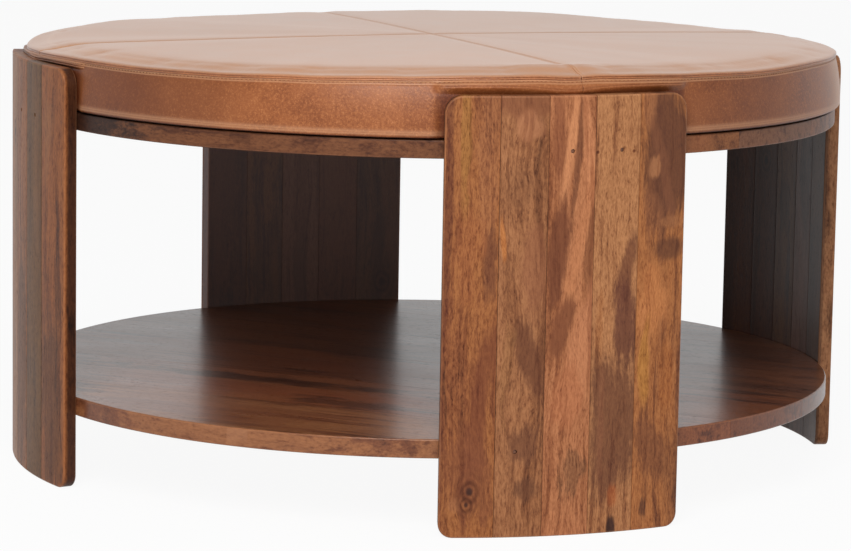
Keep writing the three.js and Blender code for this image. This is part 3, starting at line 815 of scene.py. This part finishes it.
def round_slab(underside, top, top_edge):
    """The board or the shelf in one piece, between the four legs. top_edge says how much paler its upper edge is,
    partly from wear and partly a painted highlight, or below 0 how much darker, as painted shade."""
    bm = bmesh.new()
    edge_mark = bm.loops.layers.float.new("edge")
    bmesh.ops.create_circle(bm, cap_ends=True, radius=rim_radius, segments=rim_segments)
    bmesh.ops.translate(bm, vec=(0, 0, top), verts=bm.verts)
    bmesh.ops.solidify(bm, geom=bm.faces[:], thickness=top - underside)
    for height, value in ((underside, 0.6), (top, top_edge)):
        rim = edges_at(bm, lambda co: same(co.z, height))
        round_edges(bm, rim, rim_arris_radius, arris_segments, edge_mark, value)
    return bm


def make_planks(name, slab, boards, gloss):
    width = 2 * rim_radius / plank_count
    for index in range(plank_count):
        low = -rim_radius + index * width
        sides = (low + touching_gap / 2, low + width - touching_gap / 2)
        bm = slab.copy()
        for side, outwards in zip(sides, (-1, 1)):
            bmesh.ops.bisect_plane(
                bm, geom=everything(bm), plane_co=(0, side, 0), plane_no=(0, outwards, 0), clear_outer=True
            )
        bmesh.ops.holes_fill(bm, edges=[edge for edge in bm.edges if edge.is_boundary], sides=0)
        bmesh.ops.recalc_face_normals(bm, faces=bm.faces)
        for side in sides:
            for edge in edges_at(bm, lambda co: same(co.y, side)):
                edge.smooth = False
        node = f"{name}_{index + 1}"
        place = plank_place(low + width / 2)
        seed = 20 + index + 7 * len(name)
        material = wood_finish(f"{node}_stain", boards[index], place, seed, *gloss)
        keep_flats_flat(piece_from(bm, f"{node}_wood", material, [node]))
    slab.free()


# The cushion's shape
def smooth_step(share):
    held = min(max(share, 0.0), 1.0)
    return held * held * (3 - 2 * held)


def bell(distance, width):
    return math.exp(-((distance / width) ** 2))


def along_table(table, angle):
    """The value at an angle of a table that gives values at degrees."""
    turn = math.degrees(angle) % 360
    for (start, first), (end, second) in zip(table, table[1:]):
        if start <= turn <= end:
            return first + (second - first) * smooth_step((turn - start) / (end - start))


def nearest_leg(angle):
    """The number of the leg nearest to an angle, and how far off its middle is."""
    offs = [abs(angle_between(angle, leg_angle)) for leg_angle in leg_angles]
    return offs.index(min(offs)), min(offs)


def dent_share(off_leg):
    return 1 - smooth_step((off_leg - dent_angle) / (dent_end_angle - dent_angle))


def lift(angle, reach=1.0):
    """How far the top stands above its usual height: it is pushed up over each leg and is uneven by hand."""
    leg, off_leg = nearest_leg(angle)
    share = max(0.0, 1 - off_leg / dent_angle)
    rise = leg_rises[leg] * (0.6 * share ** 1.4 + 0.4 * smooth_step(share))
    rise -= leg_sags[leg] * bell(off_leg, sag_angle)
    return rise * reach ** 4 + along_table(rim_unevenness, angle) * reach


def side_radius_at(height, seam, off_leg, spread):
    """The band draws in towards the rim seam. A leg dents it. Above the leg it is tucked in and then puffs out over
    the leg's top, lowest over the leg's middle."""
    drawn_in = max(0.0, (height - lip_top) / (seam - lip_top)) ** 2
    side = side_radius + 0.6 * spread
    free = side - (side - seam_radius - spread) * drawn_in
    above_leg = (height - leg_height) / (seam - leg_height)
    middle = bell(off_leg, puff_dip_angle)
    puff = puff_depth * bell(above_leg - puff_level + puff_dip * middle, puff_width)
    puff *= smooth_step(above_leg / 0.2) * smooth_step((1 - above_leg) / 0.4)
    over_leg = smooth_step((leg_half_angle - off_leg) * leg_inner_radius / over_leg_fade)
    tuck = undercut_depth * bell(above_leg, puff_width) * (1 - 0.7 * middle) * over_leg
    return free + dent_share(off_leg) * (puff - tuck - max(0.0, free - rim_radius))


def band_point(angle, share):
    """A place on the band's skin. share runs from 0 at the rim seam over 1 at the lip to 2 at the hem's end."""
    off_leg = nearest_leg(angle)[1]
    seam = seam_height + lift(angle)
    spread = along_table(seam_spread, angle)
    lip_radius = side_radius_at(lip_top, seam, off_leg, spread) - lip_rounding
    if share <= 1:
        height = seam + (lip_top - seam) * share
        radius = side_radius_at(height, seam, off_leg, spread)
    else:
        quarter_round = min((share - 1) / lip_share, 1.0) * quarter_turn
        hem = max(0.0, (share - 1 - lip_share) / (1 - lip_share))
        radius = lip_radius + lip_rounding * math.cos(quarter_round) - (hem_width - lip_rounding) * hem
        height = lip_top - lip_rounding * math.sin(quarter_round)
    return radius, height, off_leg


lip_share = 0.3


def top_point(quarter, across, along):
    """A place on the top's skin. across and along are shares of the seam radius on the two seam lines that bound
    a quarter. It gives the angle, the radius, the height, the reach, the roll's level and the angle off the seam."""
    reach = max(across, along)
    lean = 0.0 if reach == 0 else min(across, along) / reach
    off_seam = lean * eighth_turn
    angle = diagonals[quarter] + (quarter_turn - off_seam if along > across else off_seam)
    in_roll = max(0.0, (reach - roll_start) / (1 - roll_start))
    level = math.sqrt(max(0.0, 1 - in_roll ** 2))
    height = seam_height + roll_height * level + crown_height * (1 - reach * reach) + lift(angle, reach)
    leg, off_leg = nearest_leg(angle)
    height += (
        roll_swells[leg] * bell(off_leg, roll_swell_angle) * bell(reach - roll_swell_reach, roll_swell_width) * level
    )
    radius = reach * seam_radius + along_table(seam_spread, angle) * reach ** 8 + roll_bulge * 4 * level * (1 - level)
    return angle, radius, height, reach, level, off_seam


# Where the painted highlight on the roll's crest, and the painted reflection on the band, are brightest
crest_highlight_angle = math.radians(222)
band_reflection_angle = math.radians(18)

# Sewn seams. Each leather edge turns down into its seam, and a row of stitches presses a line beside it.
fold_depth = 0.0010
fold_width = 0.0006
stitch_press_depth = 0.0004
stitch_press_width = 0.0006
ridge_height = 0.0004
ridge_width = 0.0007
seam_channel_depth = 0.0009
seam_channel_width = 0.009
first_ridge = 0.0012
second_ridge = 0.0034


def seam_drop(distance):
    return (
        fold_depth * bell(distance, fold_width)
        + stitch_press_depth * bell(distance - stitch_row_offset, stitch_press_width)
        - ridge_height * bell(distance - first_ridge, ridge_width)
        - ridge_height * 0.7 * bell(distance - second_ridge, ridge_width * 1.3)
        + seam_channel_depth * bell(distance, seam_channel_width)
    )


def seam_marks(distance):
    """How dark the fold and the stitch line are painted, as painted shade, and how much paler the ridges are, partly
    from wear and partly a painted highlight, at a distance from a seam.
    """
    crease_shade = bell(distance, fold_width) + 0.6 * bell(distance - stitch_row_offset, stitch_press_width)
    rubbed_and_highlit = bell(distance - first_ridge, ridge_width) + 0.7 * bell(distance - second_ridge, ridge_width)
    return min(crease_shade, 1.0), min(rubbed_and_highlit, 1.0)


def spaced(stops):
    """Numbers from the first stop to the last. Each stop is a number and the spacing up to it."""
    numbers = [stops[0][0]]
    for target, spacing in stops[1:]:
        count = max(1, round((target - numbers[-1]) / spacing))
        start = numbers[-1]
        numbers += [start + (target - start) * step / count for step in range(1, count + 1)]
    return numbers


def quarter_rows():
    """Rows of a leather quarter as shares of the way from a seam line, close together at the seams and the roll."""
    seam_line = seam_radius * eighth_turn
    near = spaced([(touching_gap / 2, 0), (0.006, 0.0005), (0.02, 0.002)])
    rows = [distance / seam_line for distance in near]
    cell = top_cell / seam_radius
    far = spaced([(rows[-1], 0), (roll_start, cell), (1 - 0.007 / seam_radius, cell * 0.6), (1, 0.0006 / seam_radius)])
    return rows + far[1:]


def band_rows():
    band_height = seam_height - lip_top
    near = spaced([(0, 0), (0.006, 0.0005), (0.018, 0.0012), (band_height, 0.003)])
    return [distance / band_height for distance in near] + spaced([(1, 0), (1 + lip_share, 0.05), (2, 0.14)])[1:]


class Swell:
    """How far the blown-up cover moves at a place, found by letting cloth swell under pressure."""

    def __init__(self, spots, moves):
        self.moves = moves
        self.tree = KDTree(len(spots))
        for index, spot in enumerate(spots):
            self.tree.insert(spot, index)
        self.tree.balance()

    def at(self, spot):
        if not self.moves:
            return Vector((0, 0, 0))
        total, moved = 0.0, Vector((0, 0, 0))
        for _, index, distance in self.tree.find_n(spot, 6):
            weight = 1 / (distance * distance + 1e-6)
            total += weight
            moved += self.moves[index] * weight
        return moved / total


swell_cell = 0.012
swell_cap = 0.0022
swell_frames = 20
cover_cloth = {
    "use_pressure": True, "uniform_pressure_force": 4.0, "quality": 6, "mass": 0.4, "tension_stiffness": 25.0,
    "compression_stiffness": 25.0, "shear_stiffness": 10.0, "bending_stiffness": 4.0, "pin_stiffness": 1.0,
}


def cover_blank():
    """The whole cover as one coarse closed form."""
    count = round(seam_radius / swell_cell)
    bm = bmesh.new()
    bmesh.ops.create_grid(bm, x_segments=2 * count, y_segments=2 * count, size=1.0)
    rim = [vertex for vertex in bm.verts if vertex.is_boundary]
    held = {}
    for vertex in bm.verts:
        vertex.co = cover_spot(vertex.co.x, vertex.co.y)
        held[vertex] = 0.0
    ring = [edge for edge in bm.edges if edge.is_boundary]
    for share in (0.2, 0.4, 0.6, 0.8, 1.0, 1.3):
        new, ring = pulled_ring(bm, ring)
        for vertex in new:
            angle = math.atan2(vertex.co.y, vertex.co.x)
            radius, height, off_leg = band_point(angle, share)
            vertex.co = round_about(angle, radius, height)
            pressed = dent_share(off_leg) > 0.3 and height < leg_height + 0.002
            held[vertex] = 1.0 if share >= 1 or pressed else 0.0
    for vertex in rim:
        held[vertex] = 0.85
    bmesh.ops.holes_fill(bm, edges=[edge for edge in bm.edges if edge.is_boundary], sides=0)
    bmesh.ops.recalc_face_normals(bm, faces=bm.faces)
    return bm, held


def pulled_ring(bm, ring):
    """Draws another ring out of an open rim. It gives the new vertices and the new rim."""
    made = bmesh.ops.extrude_edge_only(bm, edges=ring)["geom"]
    new = [item for item in made if isinstance(item, bmesh.types.BMVert)]
    edges = [item for item in made if isinstance(item, bmesh.types.BMEdge)]
    return new, [edge for edge in edges if all(vertex in new for vertex in edge.verts)]


def cover_spot(across, along):
    """A place on the top from shares that run from -1 to 1 along the two seam lines."""
    if across >= 0:
        quarter, shares = (0, (across, along)) if along >= 0 else (3, (-along, across))
    else:
        quarter, shares = (1, (along, -across)) if along >= 0 else (2, (-across, -along))
    return round_about(*top_point(quarter, *shares)[:3])


def blow_up_cover():
    """Runs the cloth and gives its swell. The result is a mesh that was simulated once and is then thrown away."""
    bm, held = cover_blank()
    bm.verts.ensure_lookup_table()
    before = [vertex.co.copy() for vertex in bm.verts]
    weights = [held[vertex] for vertex in bm.verts]
    mesh = bpy.data.meshes.new("cover_blank")
    bm.to_mesh(mesh)
    bm.free()
    blank = bpy.data.objects.new("cover_blank", mesh)
    bpy.context.scene.collection.objects.link(blank)
    group = blank.vertex_groups.new(name="held")
    for index, weight in enumerate(weights):
        group.add([index], weight, "REPLACE")
    cloth = blank.modifiers.new("cloth", "CLOTH")
    cloth.settings.vertex_group_mass = group.name
    cloth.settings.effector_weights.gravity = 0.0
    for name, setting in cover_cloth.items():
        setattr(cloth.settings, name, setting)
    cloth.point_cache.frame_start, cloth.point_cache.frame_end = 1, swell_frames
    scene = bpy.context.scene
    for step in range(1, swell_frames + 1):
        scene.frame_set(step)
    swollen = blank.evaluated_get(bpy.context.evaluated_depsgraph_get()).to_mesh()
    moves = []
    for spot, vertex in zip(before, swollen.vertices):
        move = vertex.co - spot
        moves.append(move * (swell_cap * math.tanh(move.length / swell_cap) / max(move.length, tiny)))
    scene.frame_set(1)
    bpy.data.objects.remove(blank)
    return Swell(before, moves)


def marks_on(bm, *names):
    """A value on each vertex for every name."""
    for name in names:
        bm.verts.layers.float.new(name)
    return [bm.verts.layers.float[name] for name in names]


def finish_skin(bm, node, material):
    bmesh.ops.solidify(bm, geom=bm.faces[:], thickness=leather_thickness)
    piece_from(bm, f"{node}_skin", material, [node])


def make_leather_quarter(index, swell, material):
    rows = quarter_rows()
    count = len(rows) - 1
    bm = bmesh.new()
    crease_shade_mark, rubbed_and_highlit_mark, painted_top_light_mark, shade_mark = marks_on(bm, "crease_shade", "rubbed_and_highlit", "painted_top_light", "shade")
    bmesh.ops.create_grid(bm, x_segments=count, y_segments=count, size=0.5)
    for vertex in bm.verts:
        across = rows[round((vertex.co.x + 0.5) * count)]
        along = rows[round((vertex.co.y + 0.5) * count)]
        angle, radius, height, reach, level, off_seam = top_point(index, across, along)
        from_seam = off_seam * radius
        to_rim = math.hypot(seam_radius - radius, roll_height * level)
        crease_shade, rubbed_and_highlit = seam_marks(from_seam)
        fold = bell(to_rim, fold_width)
        moved = swell.at(round_about(angle, radius, height))
        vertex.co = round_about(angle, radius - fold_depth * fold, height - seam_drop(from_seam) * level) + moved
        # Painted highlight along the roll's crest, brightest at one angle, over a faint paler line all round
        crest_highlight = bell(level - 0.93, 0.035) * (0.12 + 0.6 * bell(angle_between(angle, crest_highlight_angle), 0.5))
        # Painted shade in the fold at the rim seam
        vertex[crease_shade_mark] = max(crease_shade * 0.6, fold)
        vertex[rubbed_and_highlit_mark] = max(rubbed_and_highlit * 0.6, crest_highlight)
        # Painted light and reflection on the top and the roll
        vertex[painted_top_light_mark] = smooth_step((level - 0.15) / 0.4)
        vertex[shade_mark] = 0.2 * along_table(band_painted_shade, angle) * (1 - smooth_step((1 - reach) / 0.05))
    finish_skin(bm, f"{quarter_names[index]}_leather_quarter", material)


def make_side_strip(index, swell, material):
    rows = band_rows()
    half = quarter_rows()
    columns = [share * eighth_turn for share in half]
    columns += [quarter_turn - angle for angle in reversed(columns[:-1])]
    bm = bmesh.new()
    crease_shade_mark, rubbed_and_highlit_mark, shade_mark = marks_on(bm, "crease_shade", "rubbed_and_highlit", "shade")
    bmesh.ops.create_grid(bm, x_segments=len(columns) - 1, y_segments=len(rows) - 1, size=0.5)
    for vertex in bm.verts:
        turn = columns[round((vertex.co.x + 0.5) * (len(columns) - 1))]
        share = rows[round((0.5 - vertex.co.y) * (len(rows) - 1))]
        angle = diagonals[index] + turn
        radius, height, off_leg = band_point(angle, share)
        below_seam = share * (seam_height - lip_top)
        moved = swell.at(round_about(angle, radius, height))
        crease_shade, rubbed_and_highlit = seam_marks(below_seam)
        if share <= 1:
            radius -= seam_drop(below_seam) - seam_channel_depth * bell(below_seam, seam_channel_width)
        vertex.co = round_about(angle, radius, height) + moved * (1 - dent_share(off_leg))
        # Painted shade in the undercut above a leg's top, beside the leg, and where the hem turns under
        undercut_shade = 0.65 * dent_share(off_leg + 0.006) * (1 - smooth_step((height - leg_height - 0.001) / 0.006))
        undercut_shade *= 1 - 0.8 * bell(off_leg, 0.06)
        beside_leg_shade = dent_share(off_leg) * (1 - smooth_step((height - leg_height) / 0.003))
        hem = 1.6 * smooth_step((share - 1.1) / 0.12)
        vertex[crease_shade_mark] = max(crease_shade, undercut_shade, 0.8 * beside_leg_shade, hem)
        # Painted reflection on the band round one angle, a painted highlight along the lip, and seam ridges paler
        # partly from wear and partly as a painted highlight
        band_reflection = 0.9 * bell(angle_between(angle, band_reflection_angle), 0.16)
        vertex[rubbed_and_highlit_mark] = max(rubbed_and_highlit, 0.6 * bell(share - 1.0, 0.06), band_reflection) * (1 - undercut_shade)
        vertex[shade_mark] = along_table(band_painted_shade, angle)
    finish_skin(bm, f"{quarter_names[index]}_leather_side_strip", material)


def sew(name, stitches, material):
    """A row of stitches, each given by its place on the leather and the ways out of it and along it."""
    blank = bmesh.new()
    bmesh.ops.create_uvsphere(blank, u_segments=6, v_segments=5, radius=1.0)
    bmesh.ops.rotate(blank, cent=(0, 0, 0), matrix=Matrix.Rotation(quarter_turn, 3, "Y"), verts=blank.verts)
    stitch_blank = bpy.data.meshes.new("stitch_blank")
    blank.to_mesh(stitch_blank)
    blank.free()
    bm = bmesh.new()
    for spot, outwards, onwards in stitches:
        side = outwards.cross(onwards).normalized()
        axes = (onwards * stitch_length / 2, side * stitch_thickness / 2, outwards * stitch_thickness / 2)
        placed = Matrix(axes).transposed().to_4x4()
        placed.translation = spot
        stitch = stitch_blank.copy()
        stitch.transform(placed)
        bm.from_mesh(stitch)
        bpy.data.meshes.remove(stitch)
    bpy.data.meshes.remove(stitch_blank)
    bmesh.ops.recalc_face_normals(bm, faces=bm.faces)
    piece_from(bm, name, material, [])


def rim_stitches(index, swell):
    """The stitches under the rim seam on one quarter of the band."""
    def skin(angle):
        radius, height, off_leg = band_point(angle, stitch_row_offset / (seam_height - lip_top))
        moved = swell.at(round_about(angle, radius, height))
        drop = seam_drop(stitch_row_offset) - seam_channel_depth
        return round_about(angle, radius - drop, height) + moved * (1 - dent_share(off_leg))

    count = int(seam_radius * quarter_turn / stitch_pitch)
    step = stitch_pitch / 4 / seam_radius
    for number in range(count):
        angle = diagonals[index] + quarter_turn * (number + 0.5) / count
        onwards = (skin(angle + step) - skin(angle - step)).normalized()
        yield skin(angle), round_about(angle, 1.0, stitch_tilt).normalized(), onwards


def top_stitches(index, swell, second_line):
    """The stitches of one quarter beside one of its seam lines, from the middle of the top to the rim."""
    def skin(distance):
        reach = min(distance / seam_radius, 1.0)
        beside = min(stitch_row_offset / (seam_radius * eighth_turn), reach)
        shares = (beside, reach) if second_line else (reach, beside)
        angle, radius, height, _, level, _ = top_point(index, *shares)
        base = round_about(angle, radius, height)
        return base + swell.at(base) - Vector((0, 0, seam_drop(stitch_row_offset) * level))

    seam_angle = diagonals[index] + (quarter_turn if second_line else 0.0)
    level_side = Vector((-math.sin(seam_angle), math.cos(seam_angle), 0))
    for number in range(int((seam_radius - 2 * stitch_row_offset) / stitch_pitch) - 1):
        distance = 2 * stitch_row_offset + (number + 0.5) * stitch_pitch
        ahead, behind = skin(distance + stitch_pitch / 4), skin(distance - stitch_pitch / 4)
        onwards = (ahead - behind).normalized()
        outwards = onwards.cross(level_side)
        if outwards.z < 0:
            outwards.negate()
        yield skin(distance), outwards.normalized(), onwards


def make_foam(material):
    """The foam pad: a crowned closed form that fills the cover down to the base."""
    side_gap = leather_thickness + 0.0016
    top_gap = leather_thickness + 0.0024
    rows = spaced([(0, 0), (roll_start, 0.03), (1, 0.02)])
    shares = [-share for share in reversed(rows[1:])] + rows
    count = len(shares) - 1
    inwards = 1 - side_gap / seam_radius
    bm = bmesh.new()
    bmesh.ops.create_grid(bm, x_segments=count, y_segments=count, size=0.5)
    for vertex in bm.verts:
        across = shares[round((vertex.co.x + 0.5) * count)]
        along = shares[round((vertex.co.y + 0.5) * count)]
        spot = cover_spot(across, along)
        vertex.co = Vector((spot.x * inwards, spot.y * inwards, spot.z - top_gap))
    ring = [edge for edge in bm.edges if edge.is_boundary]
    for share in (0.15, 0.3, 0.5, 0.75, 1.0):
        new, ring = pulled_ring(bm, ring)
        for vertex in new:
            angle = math.atan2(vertex.co.y, vertex.co.x)
            seam = seam_height + lift(angle) - top_gap
            height = seam + (base_top + touching_gap - seam) * share
            spread = along_table(seam_spread, angle)
            radius = side_radius_at(height, seam + top_gap, nearest_leg(angle)[1], spread) - side_gap
            vertex.co = round_about(angle, radius, height)
    bmesh.ops.holes_fill(bm, edges=[edge for edge in bm.edges if edge.is_boundary], sides=0)
    bmesh.ops.recalc_face_normals(bm, faces=bm.faces)
    piece_from(bm, "foam_pad_core", material, ["foam_pad"])


# Putting the table together
# Each gloss is a roughness, a specular level, a coat and how much the fibres show
leg_gloss = (0.45, 0.2, 0.0, 0.6)
shelf_gloss = (0.3, 0.3, 0.13, 0.4)
board_gloss = (0.42, 0.22, 0.0, 0.4)
# How dark each leg is further in, partly stain and partly painted shade, how grey, and how far in that begins
inner_stains_and_shade = [(0.85, 0.0, 0.004), (1.0, 0.0, 0.0125), (0.1, 0.6, 0.004), (1.0, 0.0, 0.004)]
leg_boards = [front_leg_boards, plain_boards(1), plain_boards(2), left_leg_boards]
for leg, leg_name in enumerate(leg_names):
    boards = leg_boards[leg]
    for number, (start, end) in enumerate(stave_spans(), 1):
        stave_angle = leg_angles[leg] + (start + end) / 2 / leg_outer_radius
        name = f"{leg_name}_stave_{number}_stain"
        place = stave_place(stave_angle)
        seed = 1 + number + 5 * leg
        stain = wood_finish(name, boards[number - 1], place, seed, *leg_gloss, inner_stains_and_shade[leg])
        make_stave(leg, number, stain)

make_planks("shelf_plank", round_slab(shelf_underside, shelf_top, top_edge=1.6), shelf_boards, shelf_gloss)
make_planks("top_board_plank", round_slab(board_underside, board_top, top_edge=-1.6), board_boards, board_gloss)

swell = blow_up_cover()
thread = thread_finish("thread")
for index, quarter in enumerate(quarter_names):
    make_leather_quarter(index, swell, leather_finish(f"{quarter}_top_leather", index, coat=0.62, crease_shade_tone=0.4))
    make_side_strip(index, swell, leather_finish(f"{quarter}_band_leather", index + 4, coat=0.12, crease_shade_tone=0.75))
    sew(f"{quarter}_rim_stitching", rim_stitches(index, swell), thread)
    sew(f"{quarter}_first_seam_stitching", top_stitches(index, swell, second_line=False), thread)
    sew(f"{quarter}_second_seam_stitching", top_stitches(index, swell, second_line=True), thread)
make_foam(foam_finish())

screw_steel = steel_finish("steel", linear(84, 74, 66), linear(150, 144, 138), 0.9)
stained_steel = steel_finish("stained_steel", linear(84, 50, 36), linear(122, 78, 54), 0.2)
plain_looks = {
    "cushion_base": plywood_finish(), "cushion_liner": liner_finish(), "nail": stained_steel, "screw": screw_steel,
}
for name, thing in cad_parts.items():
    for word, look in plain_looks.items():
        if word in name:
            thing.data.materials.clear()
            thing.data.materials.append(look)

# Floor, light and camera
floor_size = 30.0
floor_whiteness = 0.93
floor_finish = Finish("floor")
seen = floor_finish.is_ray("Camera").most(floor_finish.is_ray("Glossy")).most(floor_finish.is_ray("Transmission"))
floor_finish.set(base_color=linear(242, 242, 242), roughness=0.9)
glow = floor_finish.node("ShaderNodeEmission", None, {"Color": (1, 1, 1, 1), "Strength": 1.0})
lit_floor = Value(floor_finish, floor_finish.shader.outputs[0])
floor_mix = floor_finish.node("ShaderNodeMixShader", None, {0: seen * floor_whiteness, 1: lit_floor, 2: glow})
floor_finish.feed(floor_finish.tree.nodes["Material Output"].inputs["Surface"], floor_mix)
bm = bmesh.new()
bmesh.ops.create_grid(bm, x_segments=1, y_segments=1, size=floor_size / 2)
floor_mesh = bpy.data.meshes.new("floor")
bm.to_mesh(floor_mesh)
bm.free()
floor_mesh.materials.append(floor_finish.material)
floor = bpy.data.objects.new("floor", floor_mesh)
bpy.context.scene.collection.objects.link(floor)

# The world seen in a gloss is white at the sides and darker overhead, between two heights of its direction
surround_level = 0.27
ceiling_level = 0.5
ceiling_start, ceiling_full = 0.22, 0.48
world = bpy.data.worlds.new("studio")
bpy.context.scene.world = world
world.use_nodes = True
sky = Nodes(world.node_tree)
upwards = sky.part_of(sky.node("ShaderNodeTexCoord", output="Generated"), "Z")
mirrored = sky.is_ray("Glossy") * upwards.between(ceiling_start, ceiling_full, 1.0, ceiling_level)
level = mirrored.most(sky.is_ray("Camera")).most(sky.is_ray("Transmission")).most(surround_level)
backdrop = sky.tree.nodes["Background"]
backdrop.inputs["Color"].default_value = (1, 1, 1, 1)
sky.feed(backdrop.inputs["Strength"], level)


def soft_lamp(name, azimuth, height, distance, size, watts):
    """A square lamp at an azimuth from the front, counted to the right, that faces the table."""
    data = bpy.data.lights.new(name, "AREA")
    data.shape = "SQUARE"
    data.size = size
    data.energy = watts
    lamp = bpy.data.objects.new(name, data)
    turn = math.radians(azimuth)
    lamp.location = (distance * math.sin(turn), -distance * math.cos(turn), height)
    aim = Vector((0, 0, 0.3)) - lamp.location
    lamp.rotation_euler = aim.to_track_quat("-Z", "Y").to_euler()
    bpy.context.scene.collection.objects.link(lamp)


soft_lamp("key_lamp", azimuth=20, height=2.3, distance=2.8, size=2.0, watts=90)

camera_azimuth = math.radians(25.333)
camera_distance = 3.6703
camera_height = 0.7370
camera_pitch = 0.15101
camera_yaw = -0.00068
camera_roll = 0.017366
focal_pixels = 3639.17
photo_width = 851
forward_turn = camera_yaw - camera_azimuth
forward = Vector((
    math.sin(forward_turn) * math.cos(camera_pitch), math.cos(forward_turn) * math.cos(camera_pitch),
    -math.sin(camera_pitch)
))
level_right = Vector((math.cos(forward_turn), -math.sin(forward_turn), 0))
level_up = level_right.cross(forward)
right = level_right * math.cos(camera_roll) + level_up * math.sin(camera_roll)
up = level_up * math.cos(camera_roll) - level_right * math.sin(camera_roll)
camera_data = bpy.data.cameras.new("photo_camera")
camera_data.sensor_width = 36.0
camera_data.lens = focal_pixels * camera_data.sensor_width / photo_width
camera = bpy.data.objects.new("photo_camera", camera_data)
turned = Matrix((right, up, -forward)).transposed().to_4x4()
turned.translation = Vector((
    camera_distance * math.sin(camera_azimuth), -camera_distance * math.cos(camera_azimuth), camera_height
))
camera.matrix_world = turned
bpy.context.scene.collection.objects.link(camera)
bpy.context.scene.camera = camera
bpy.context.scene.view_settings.view_transform = "Standard"
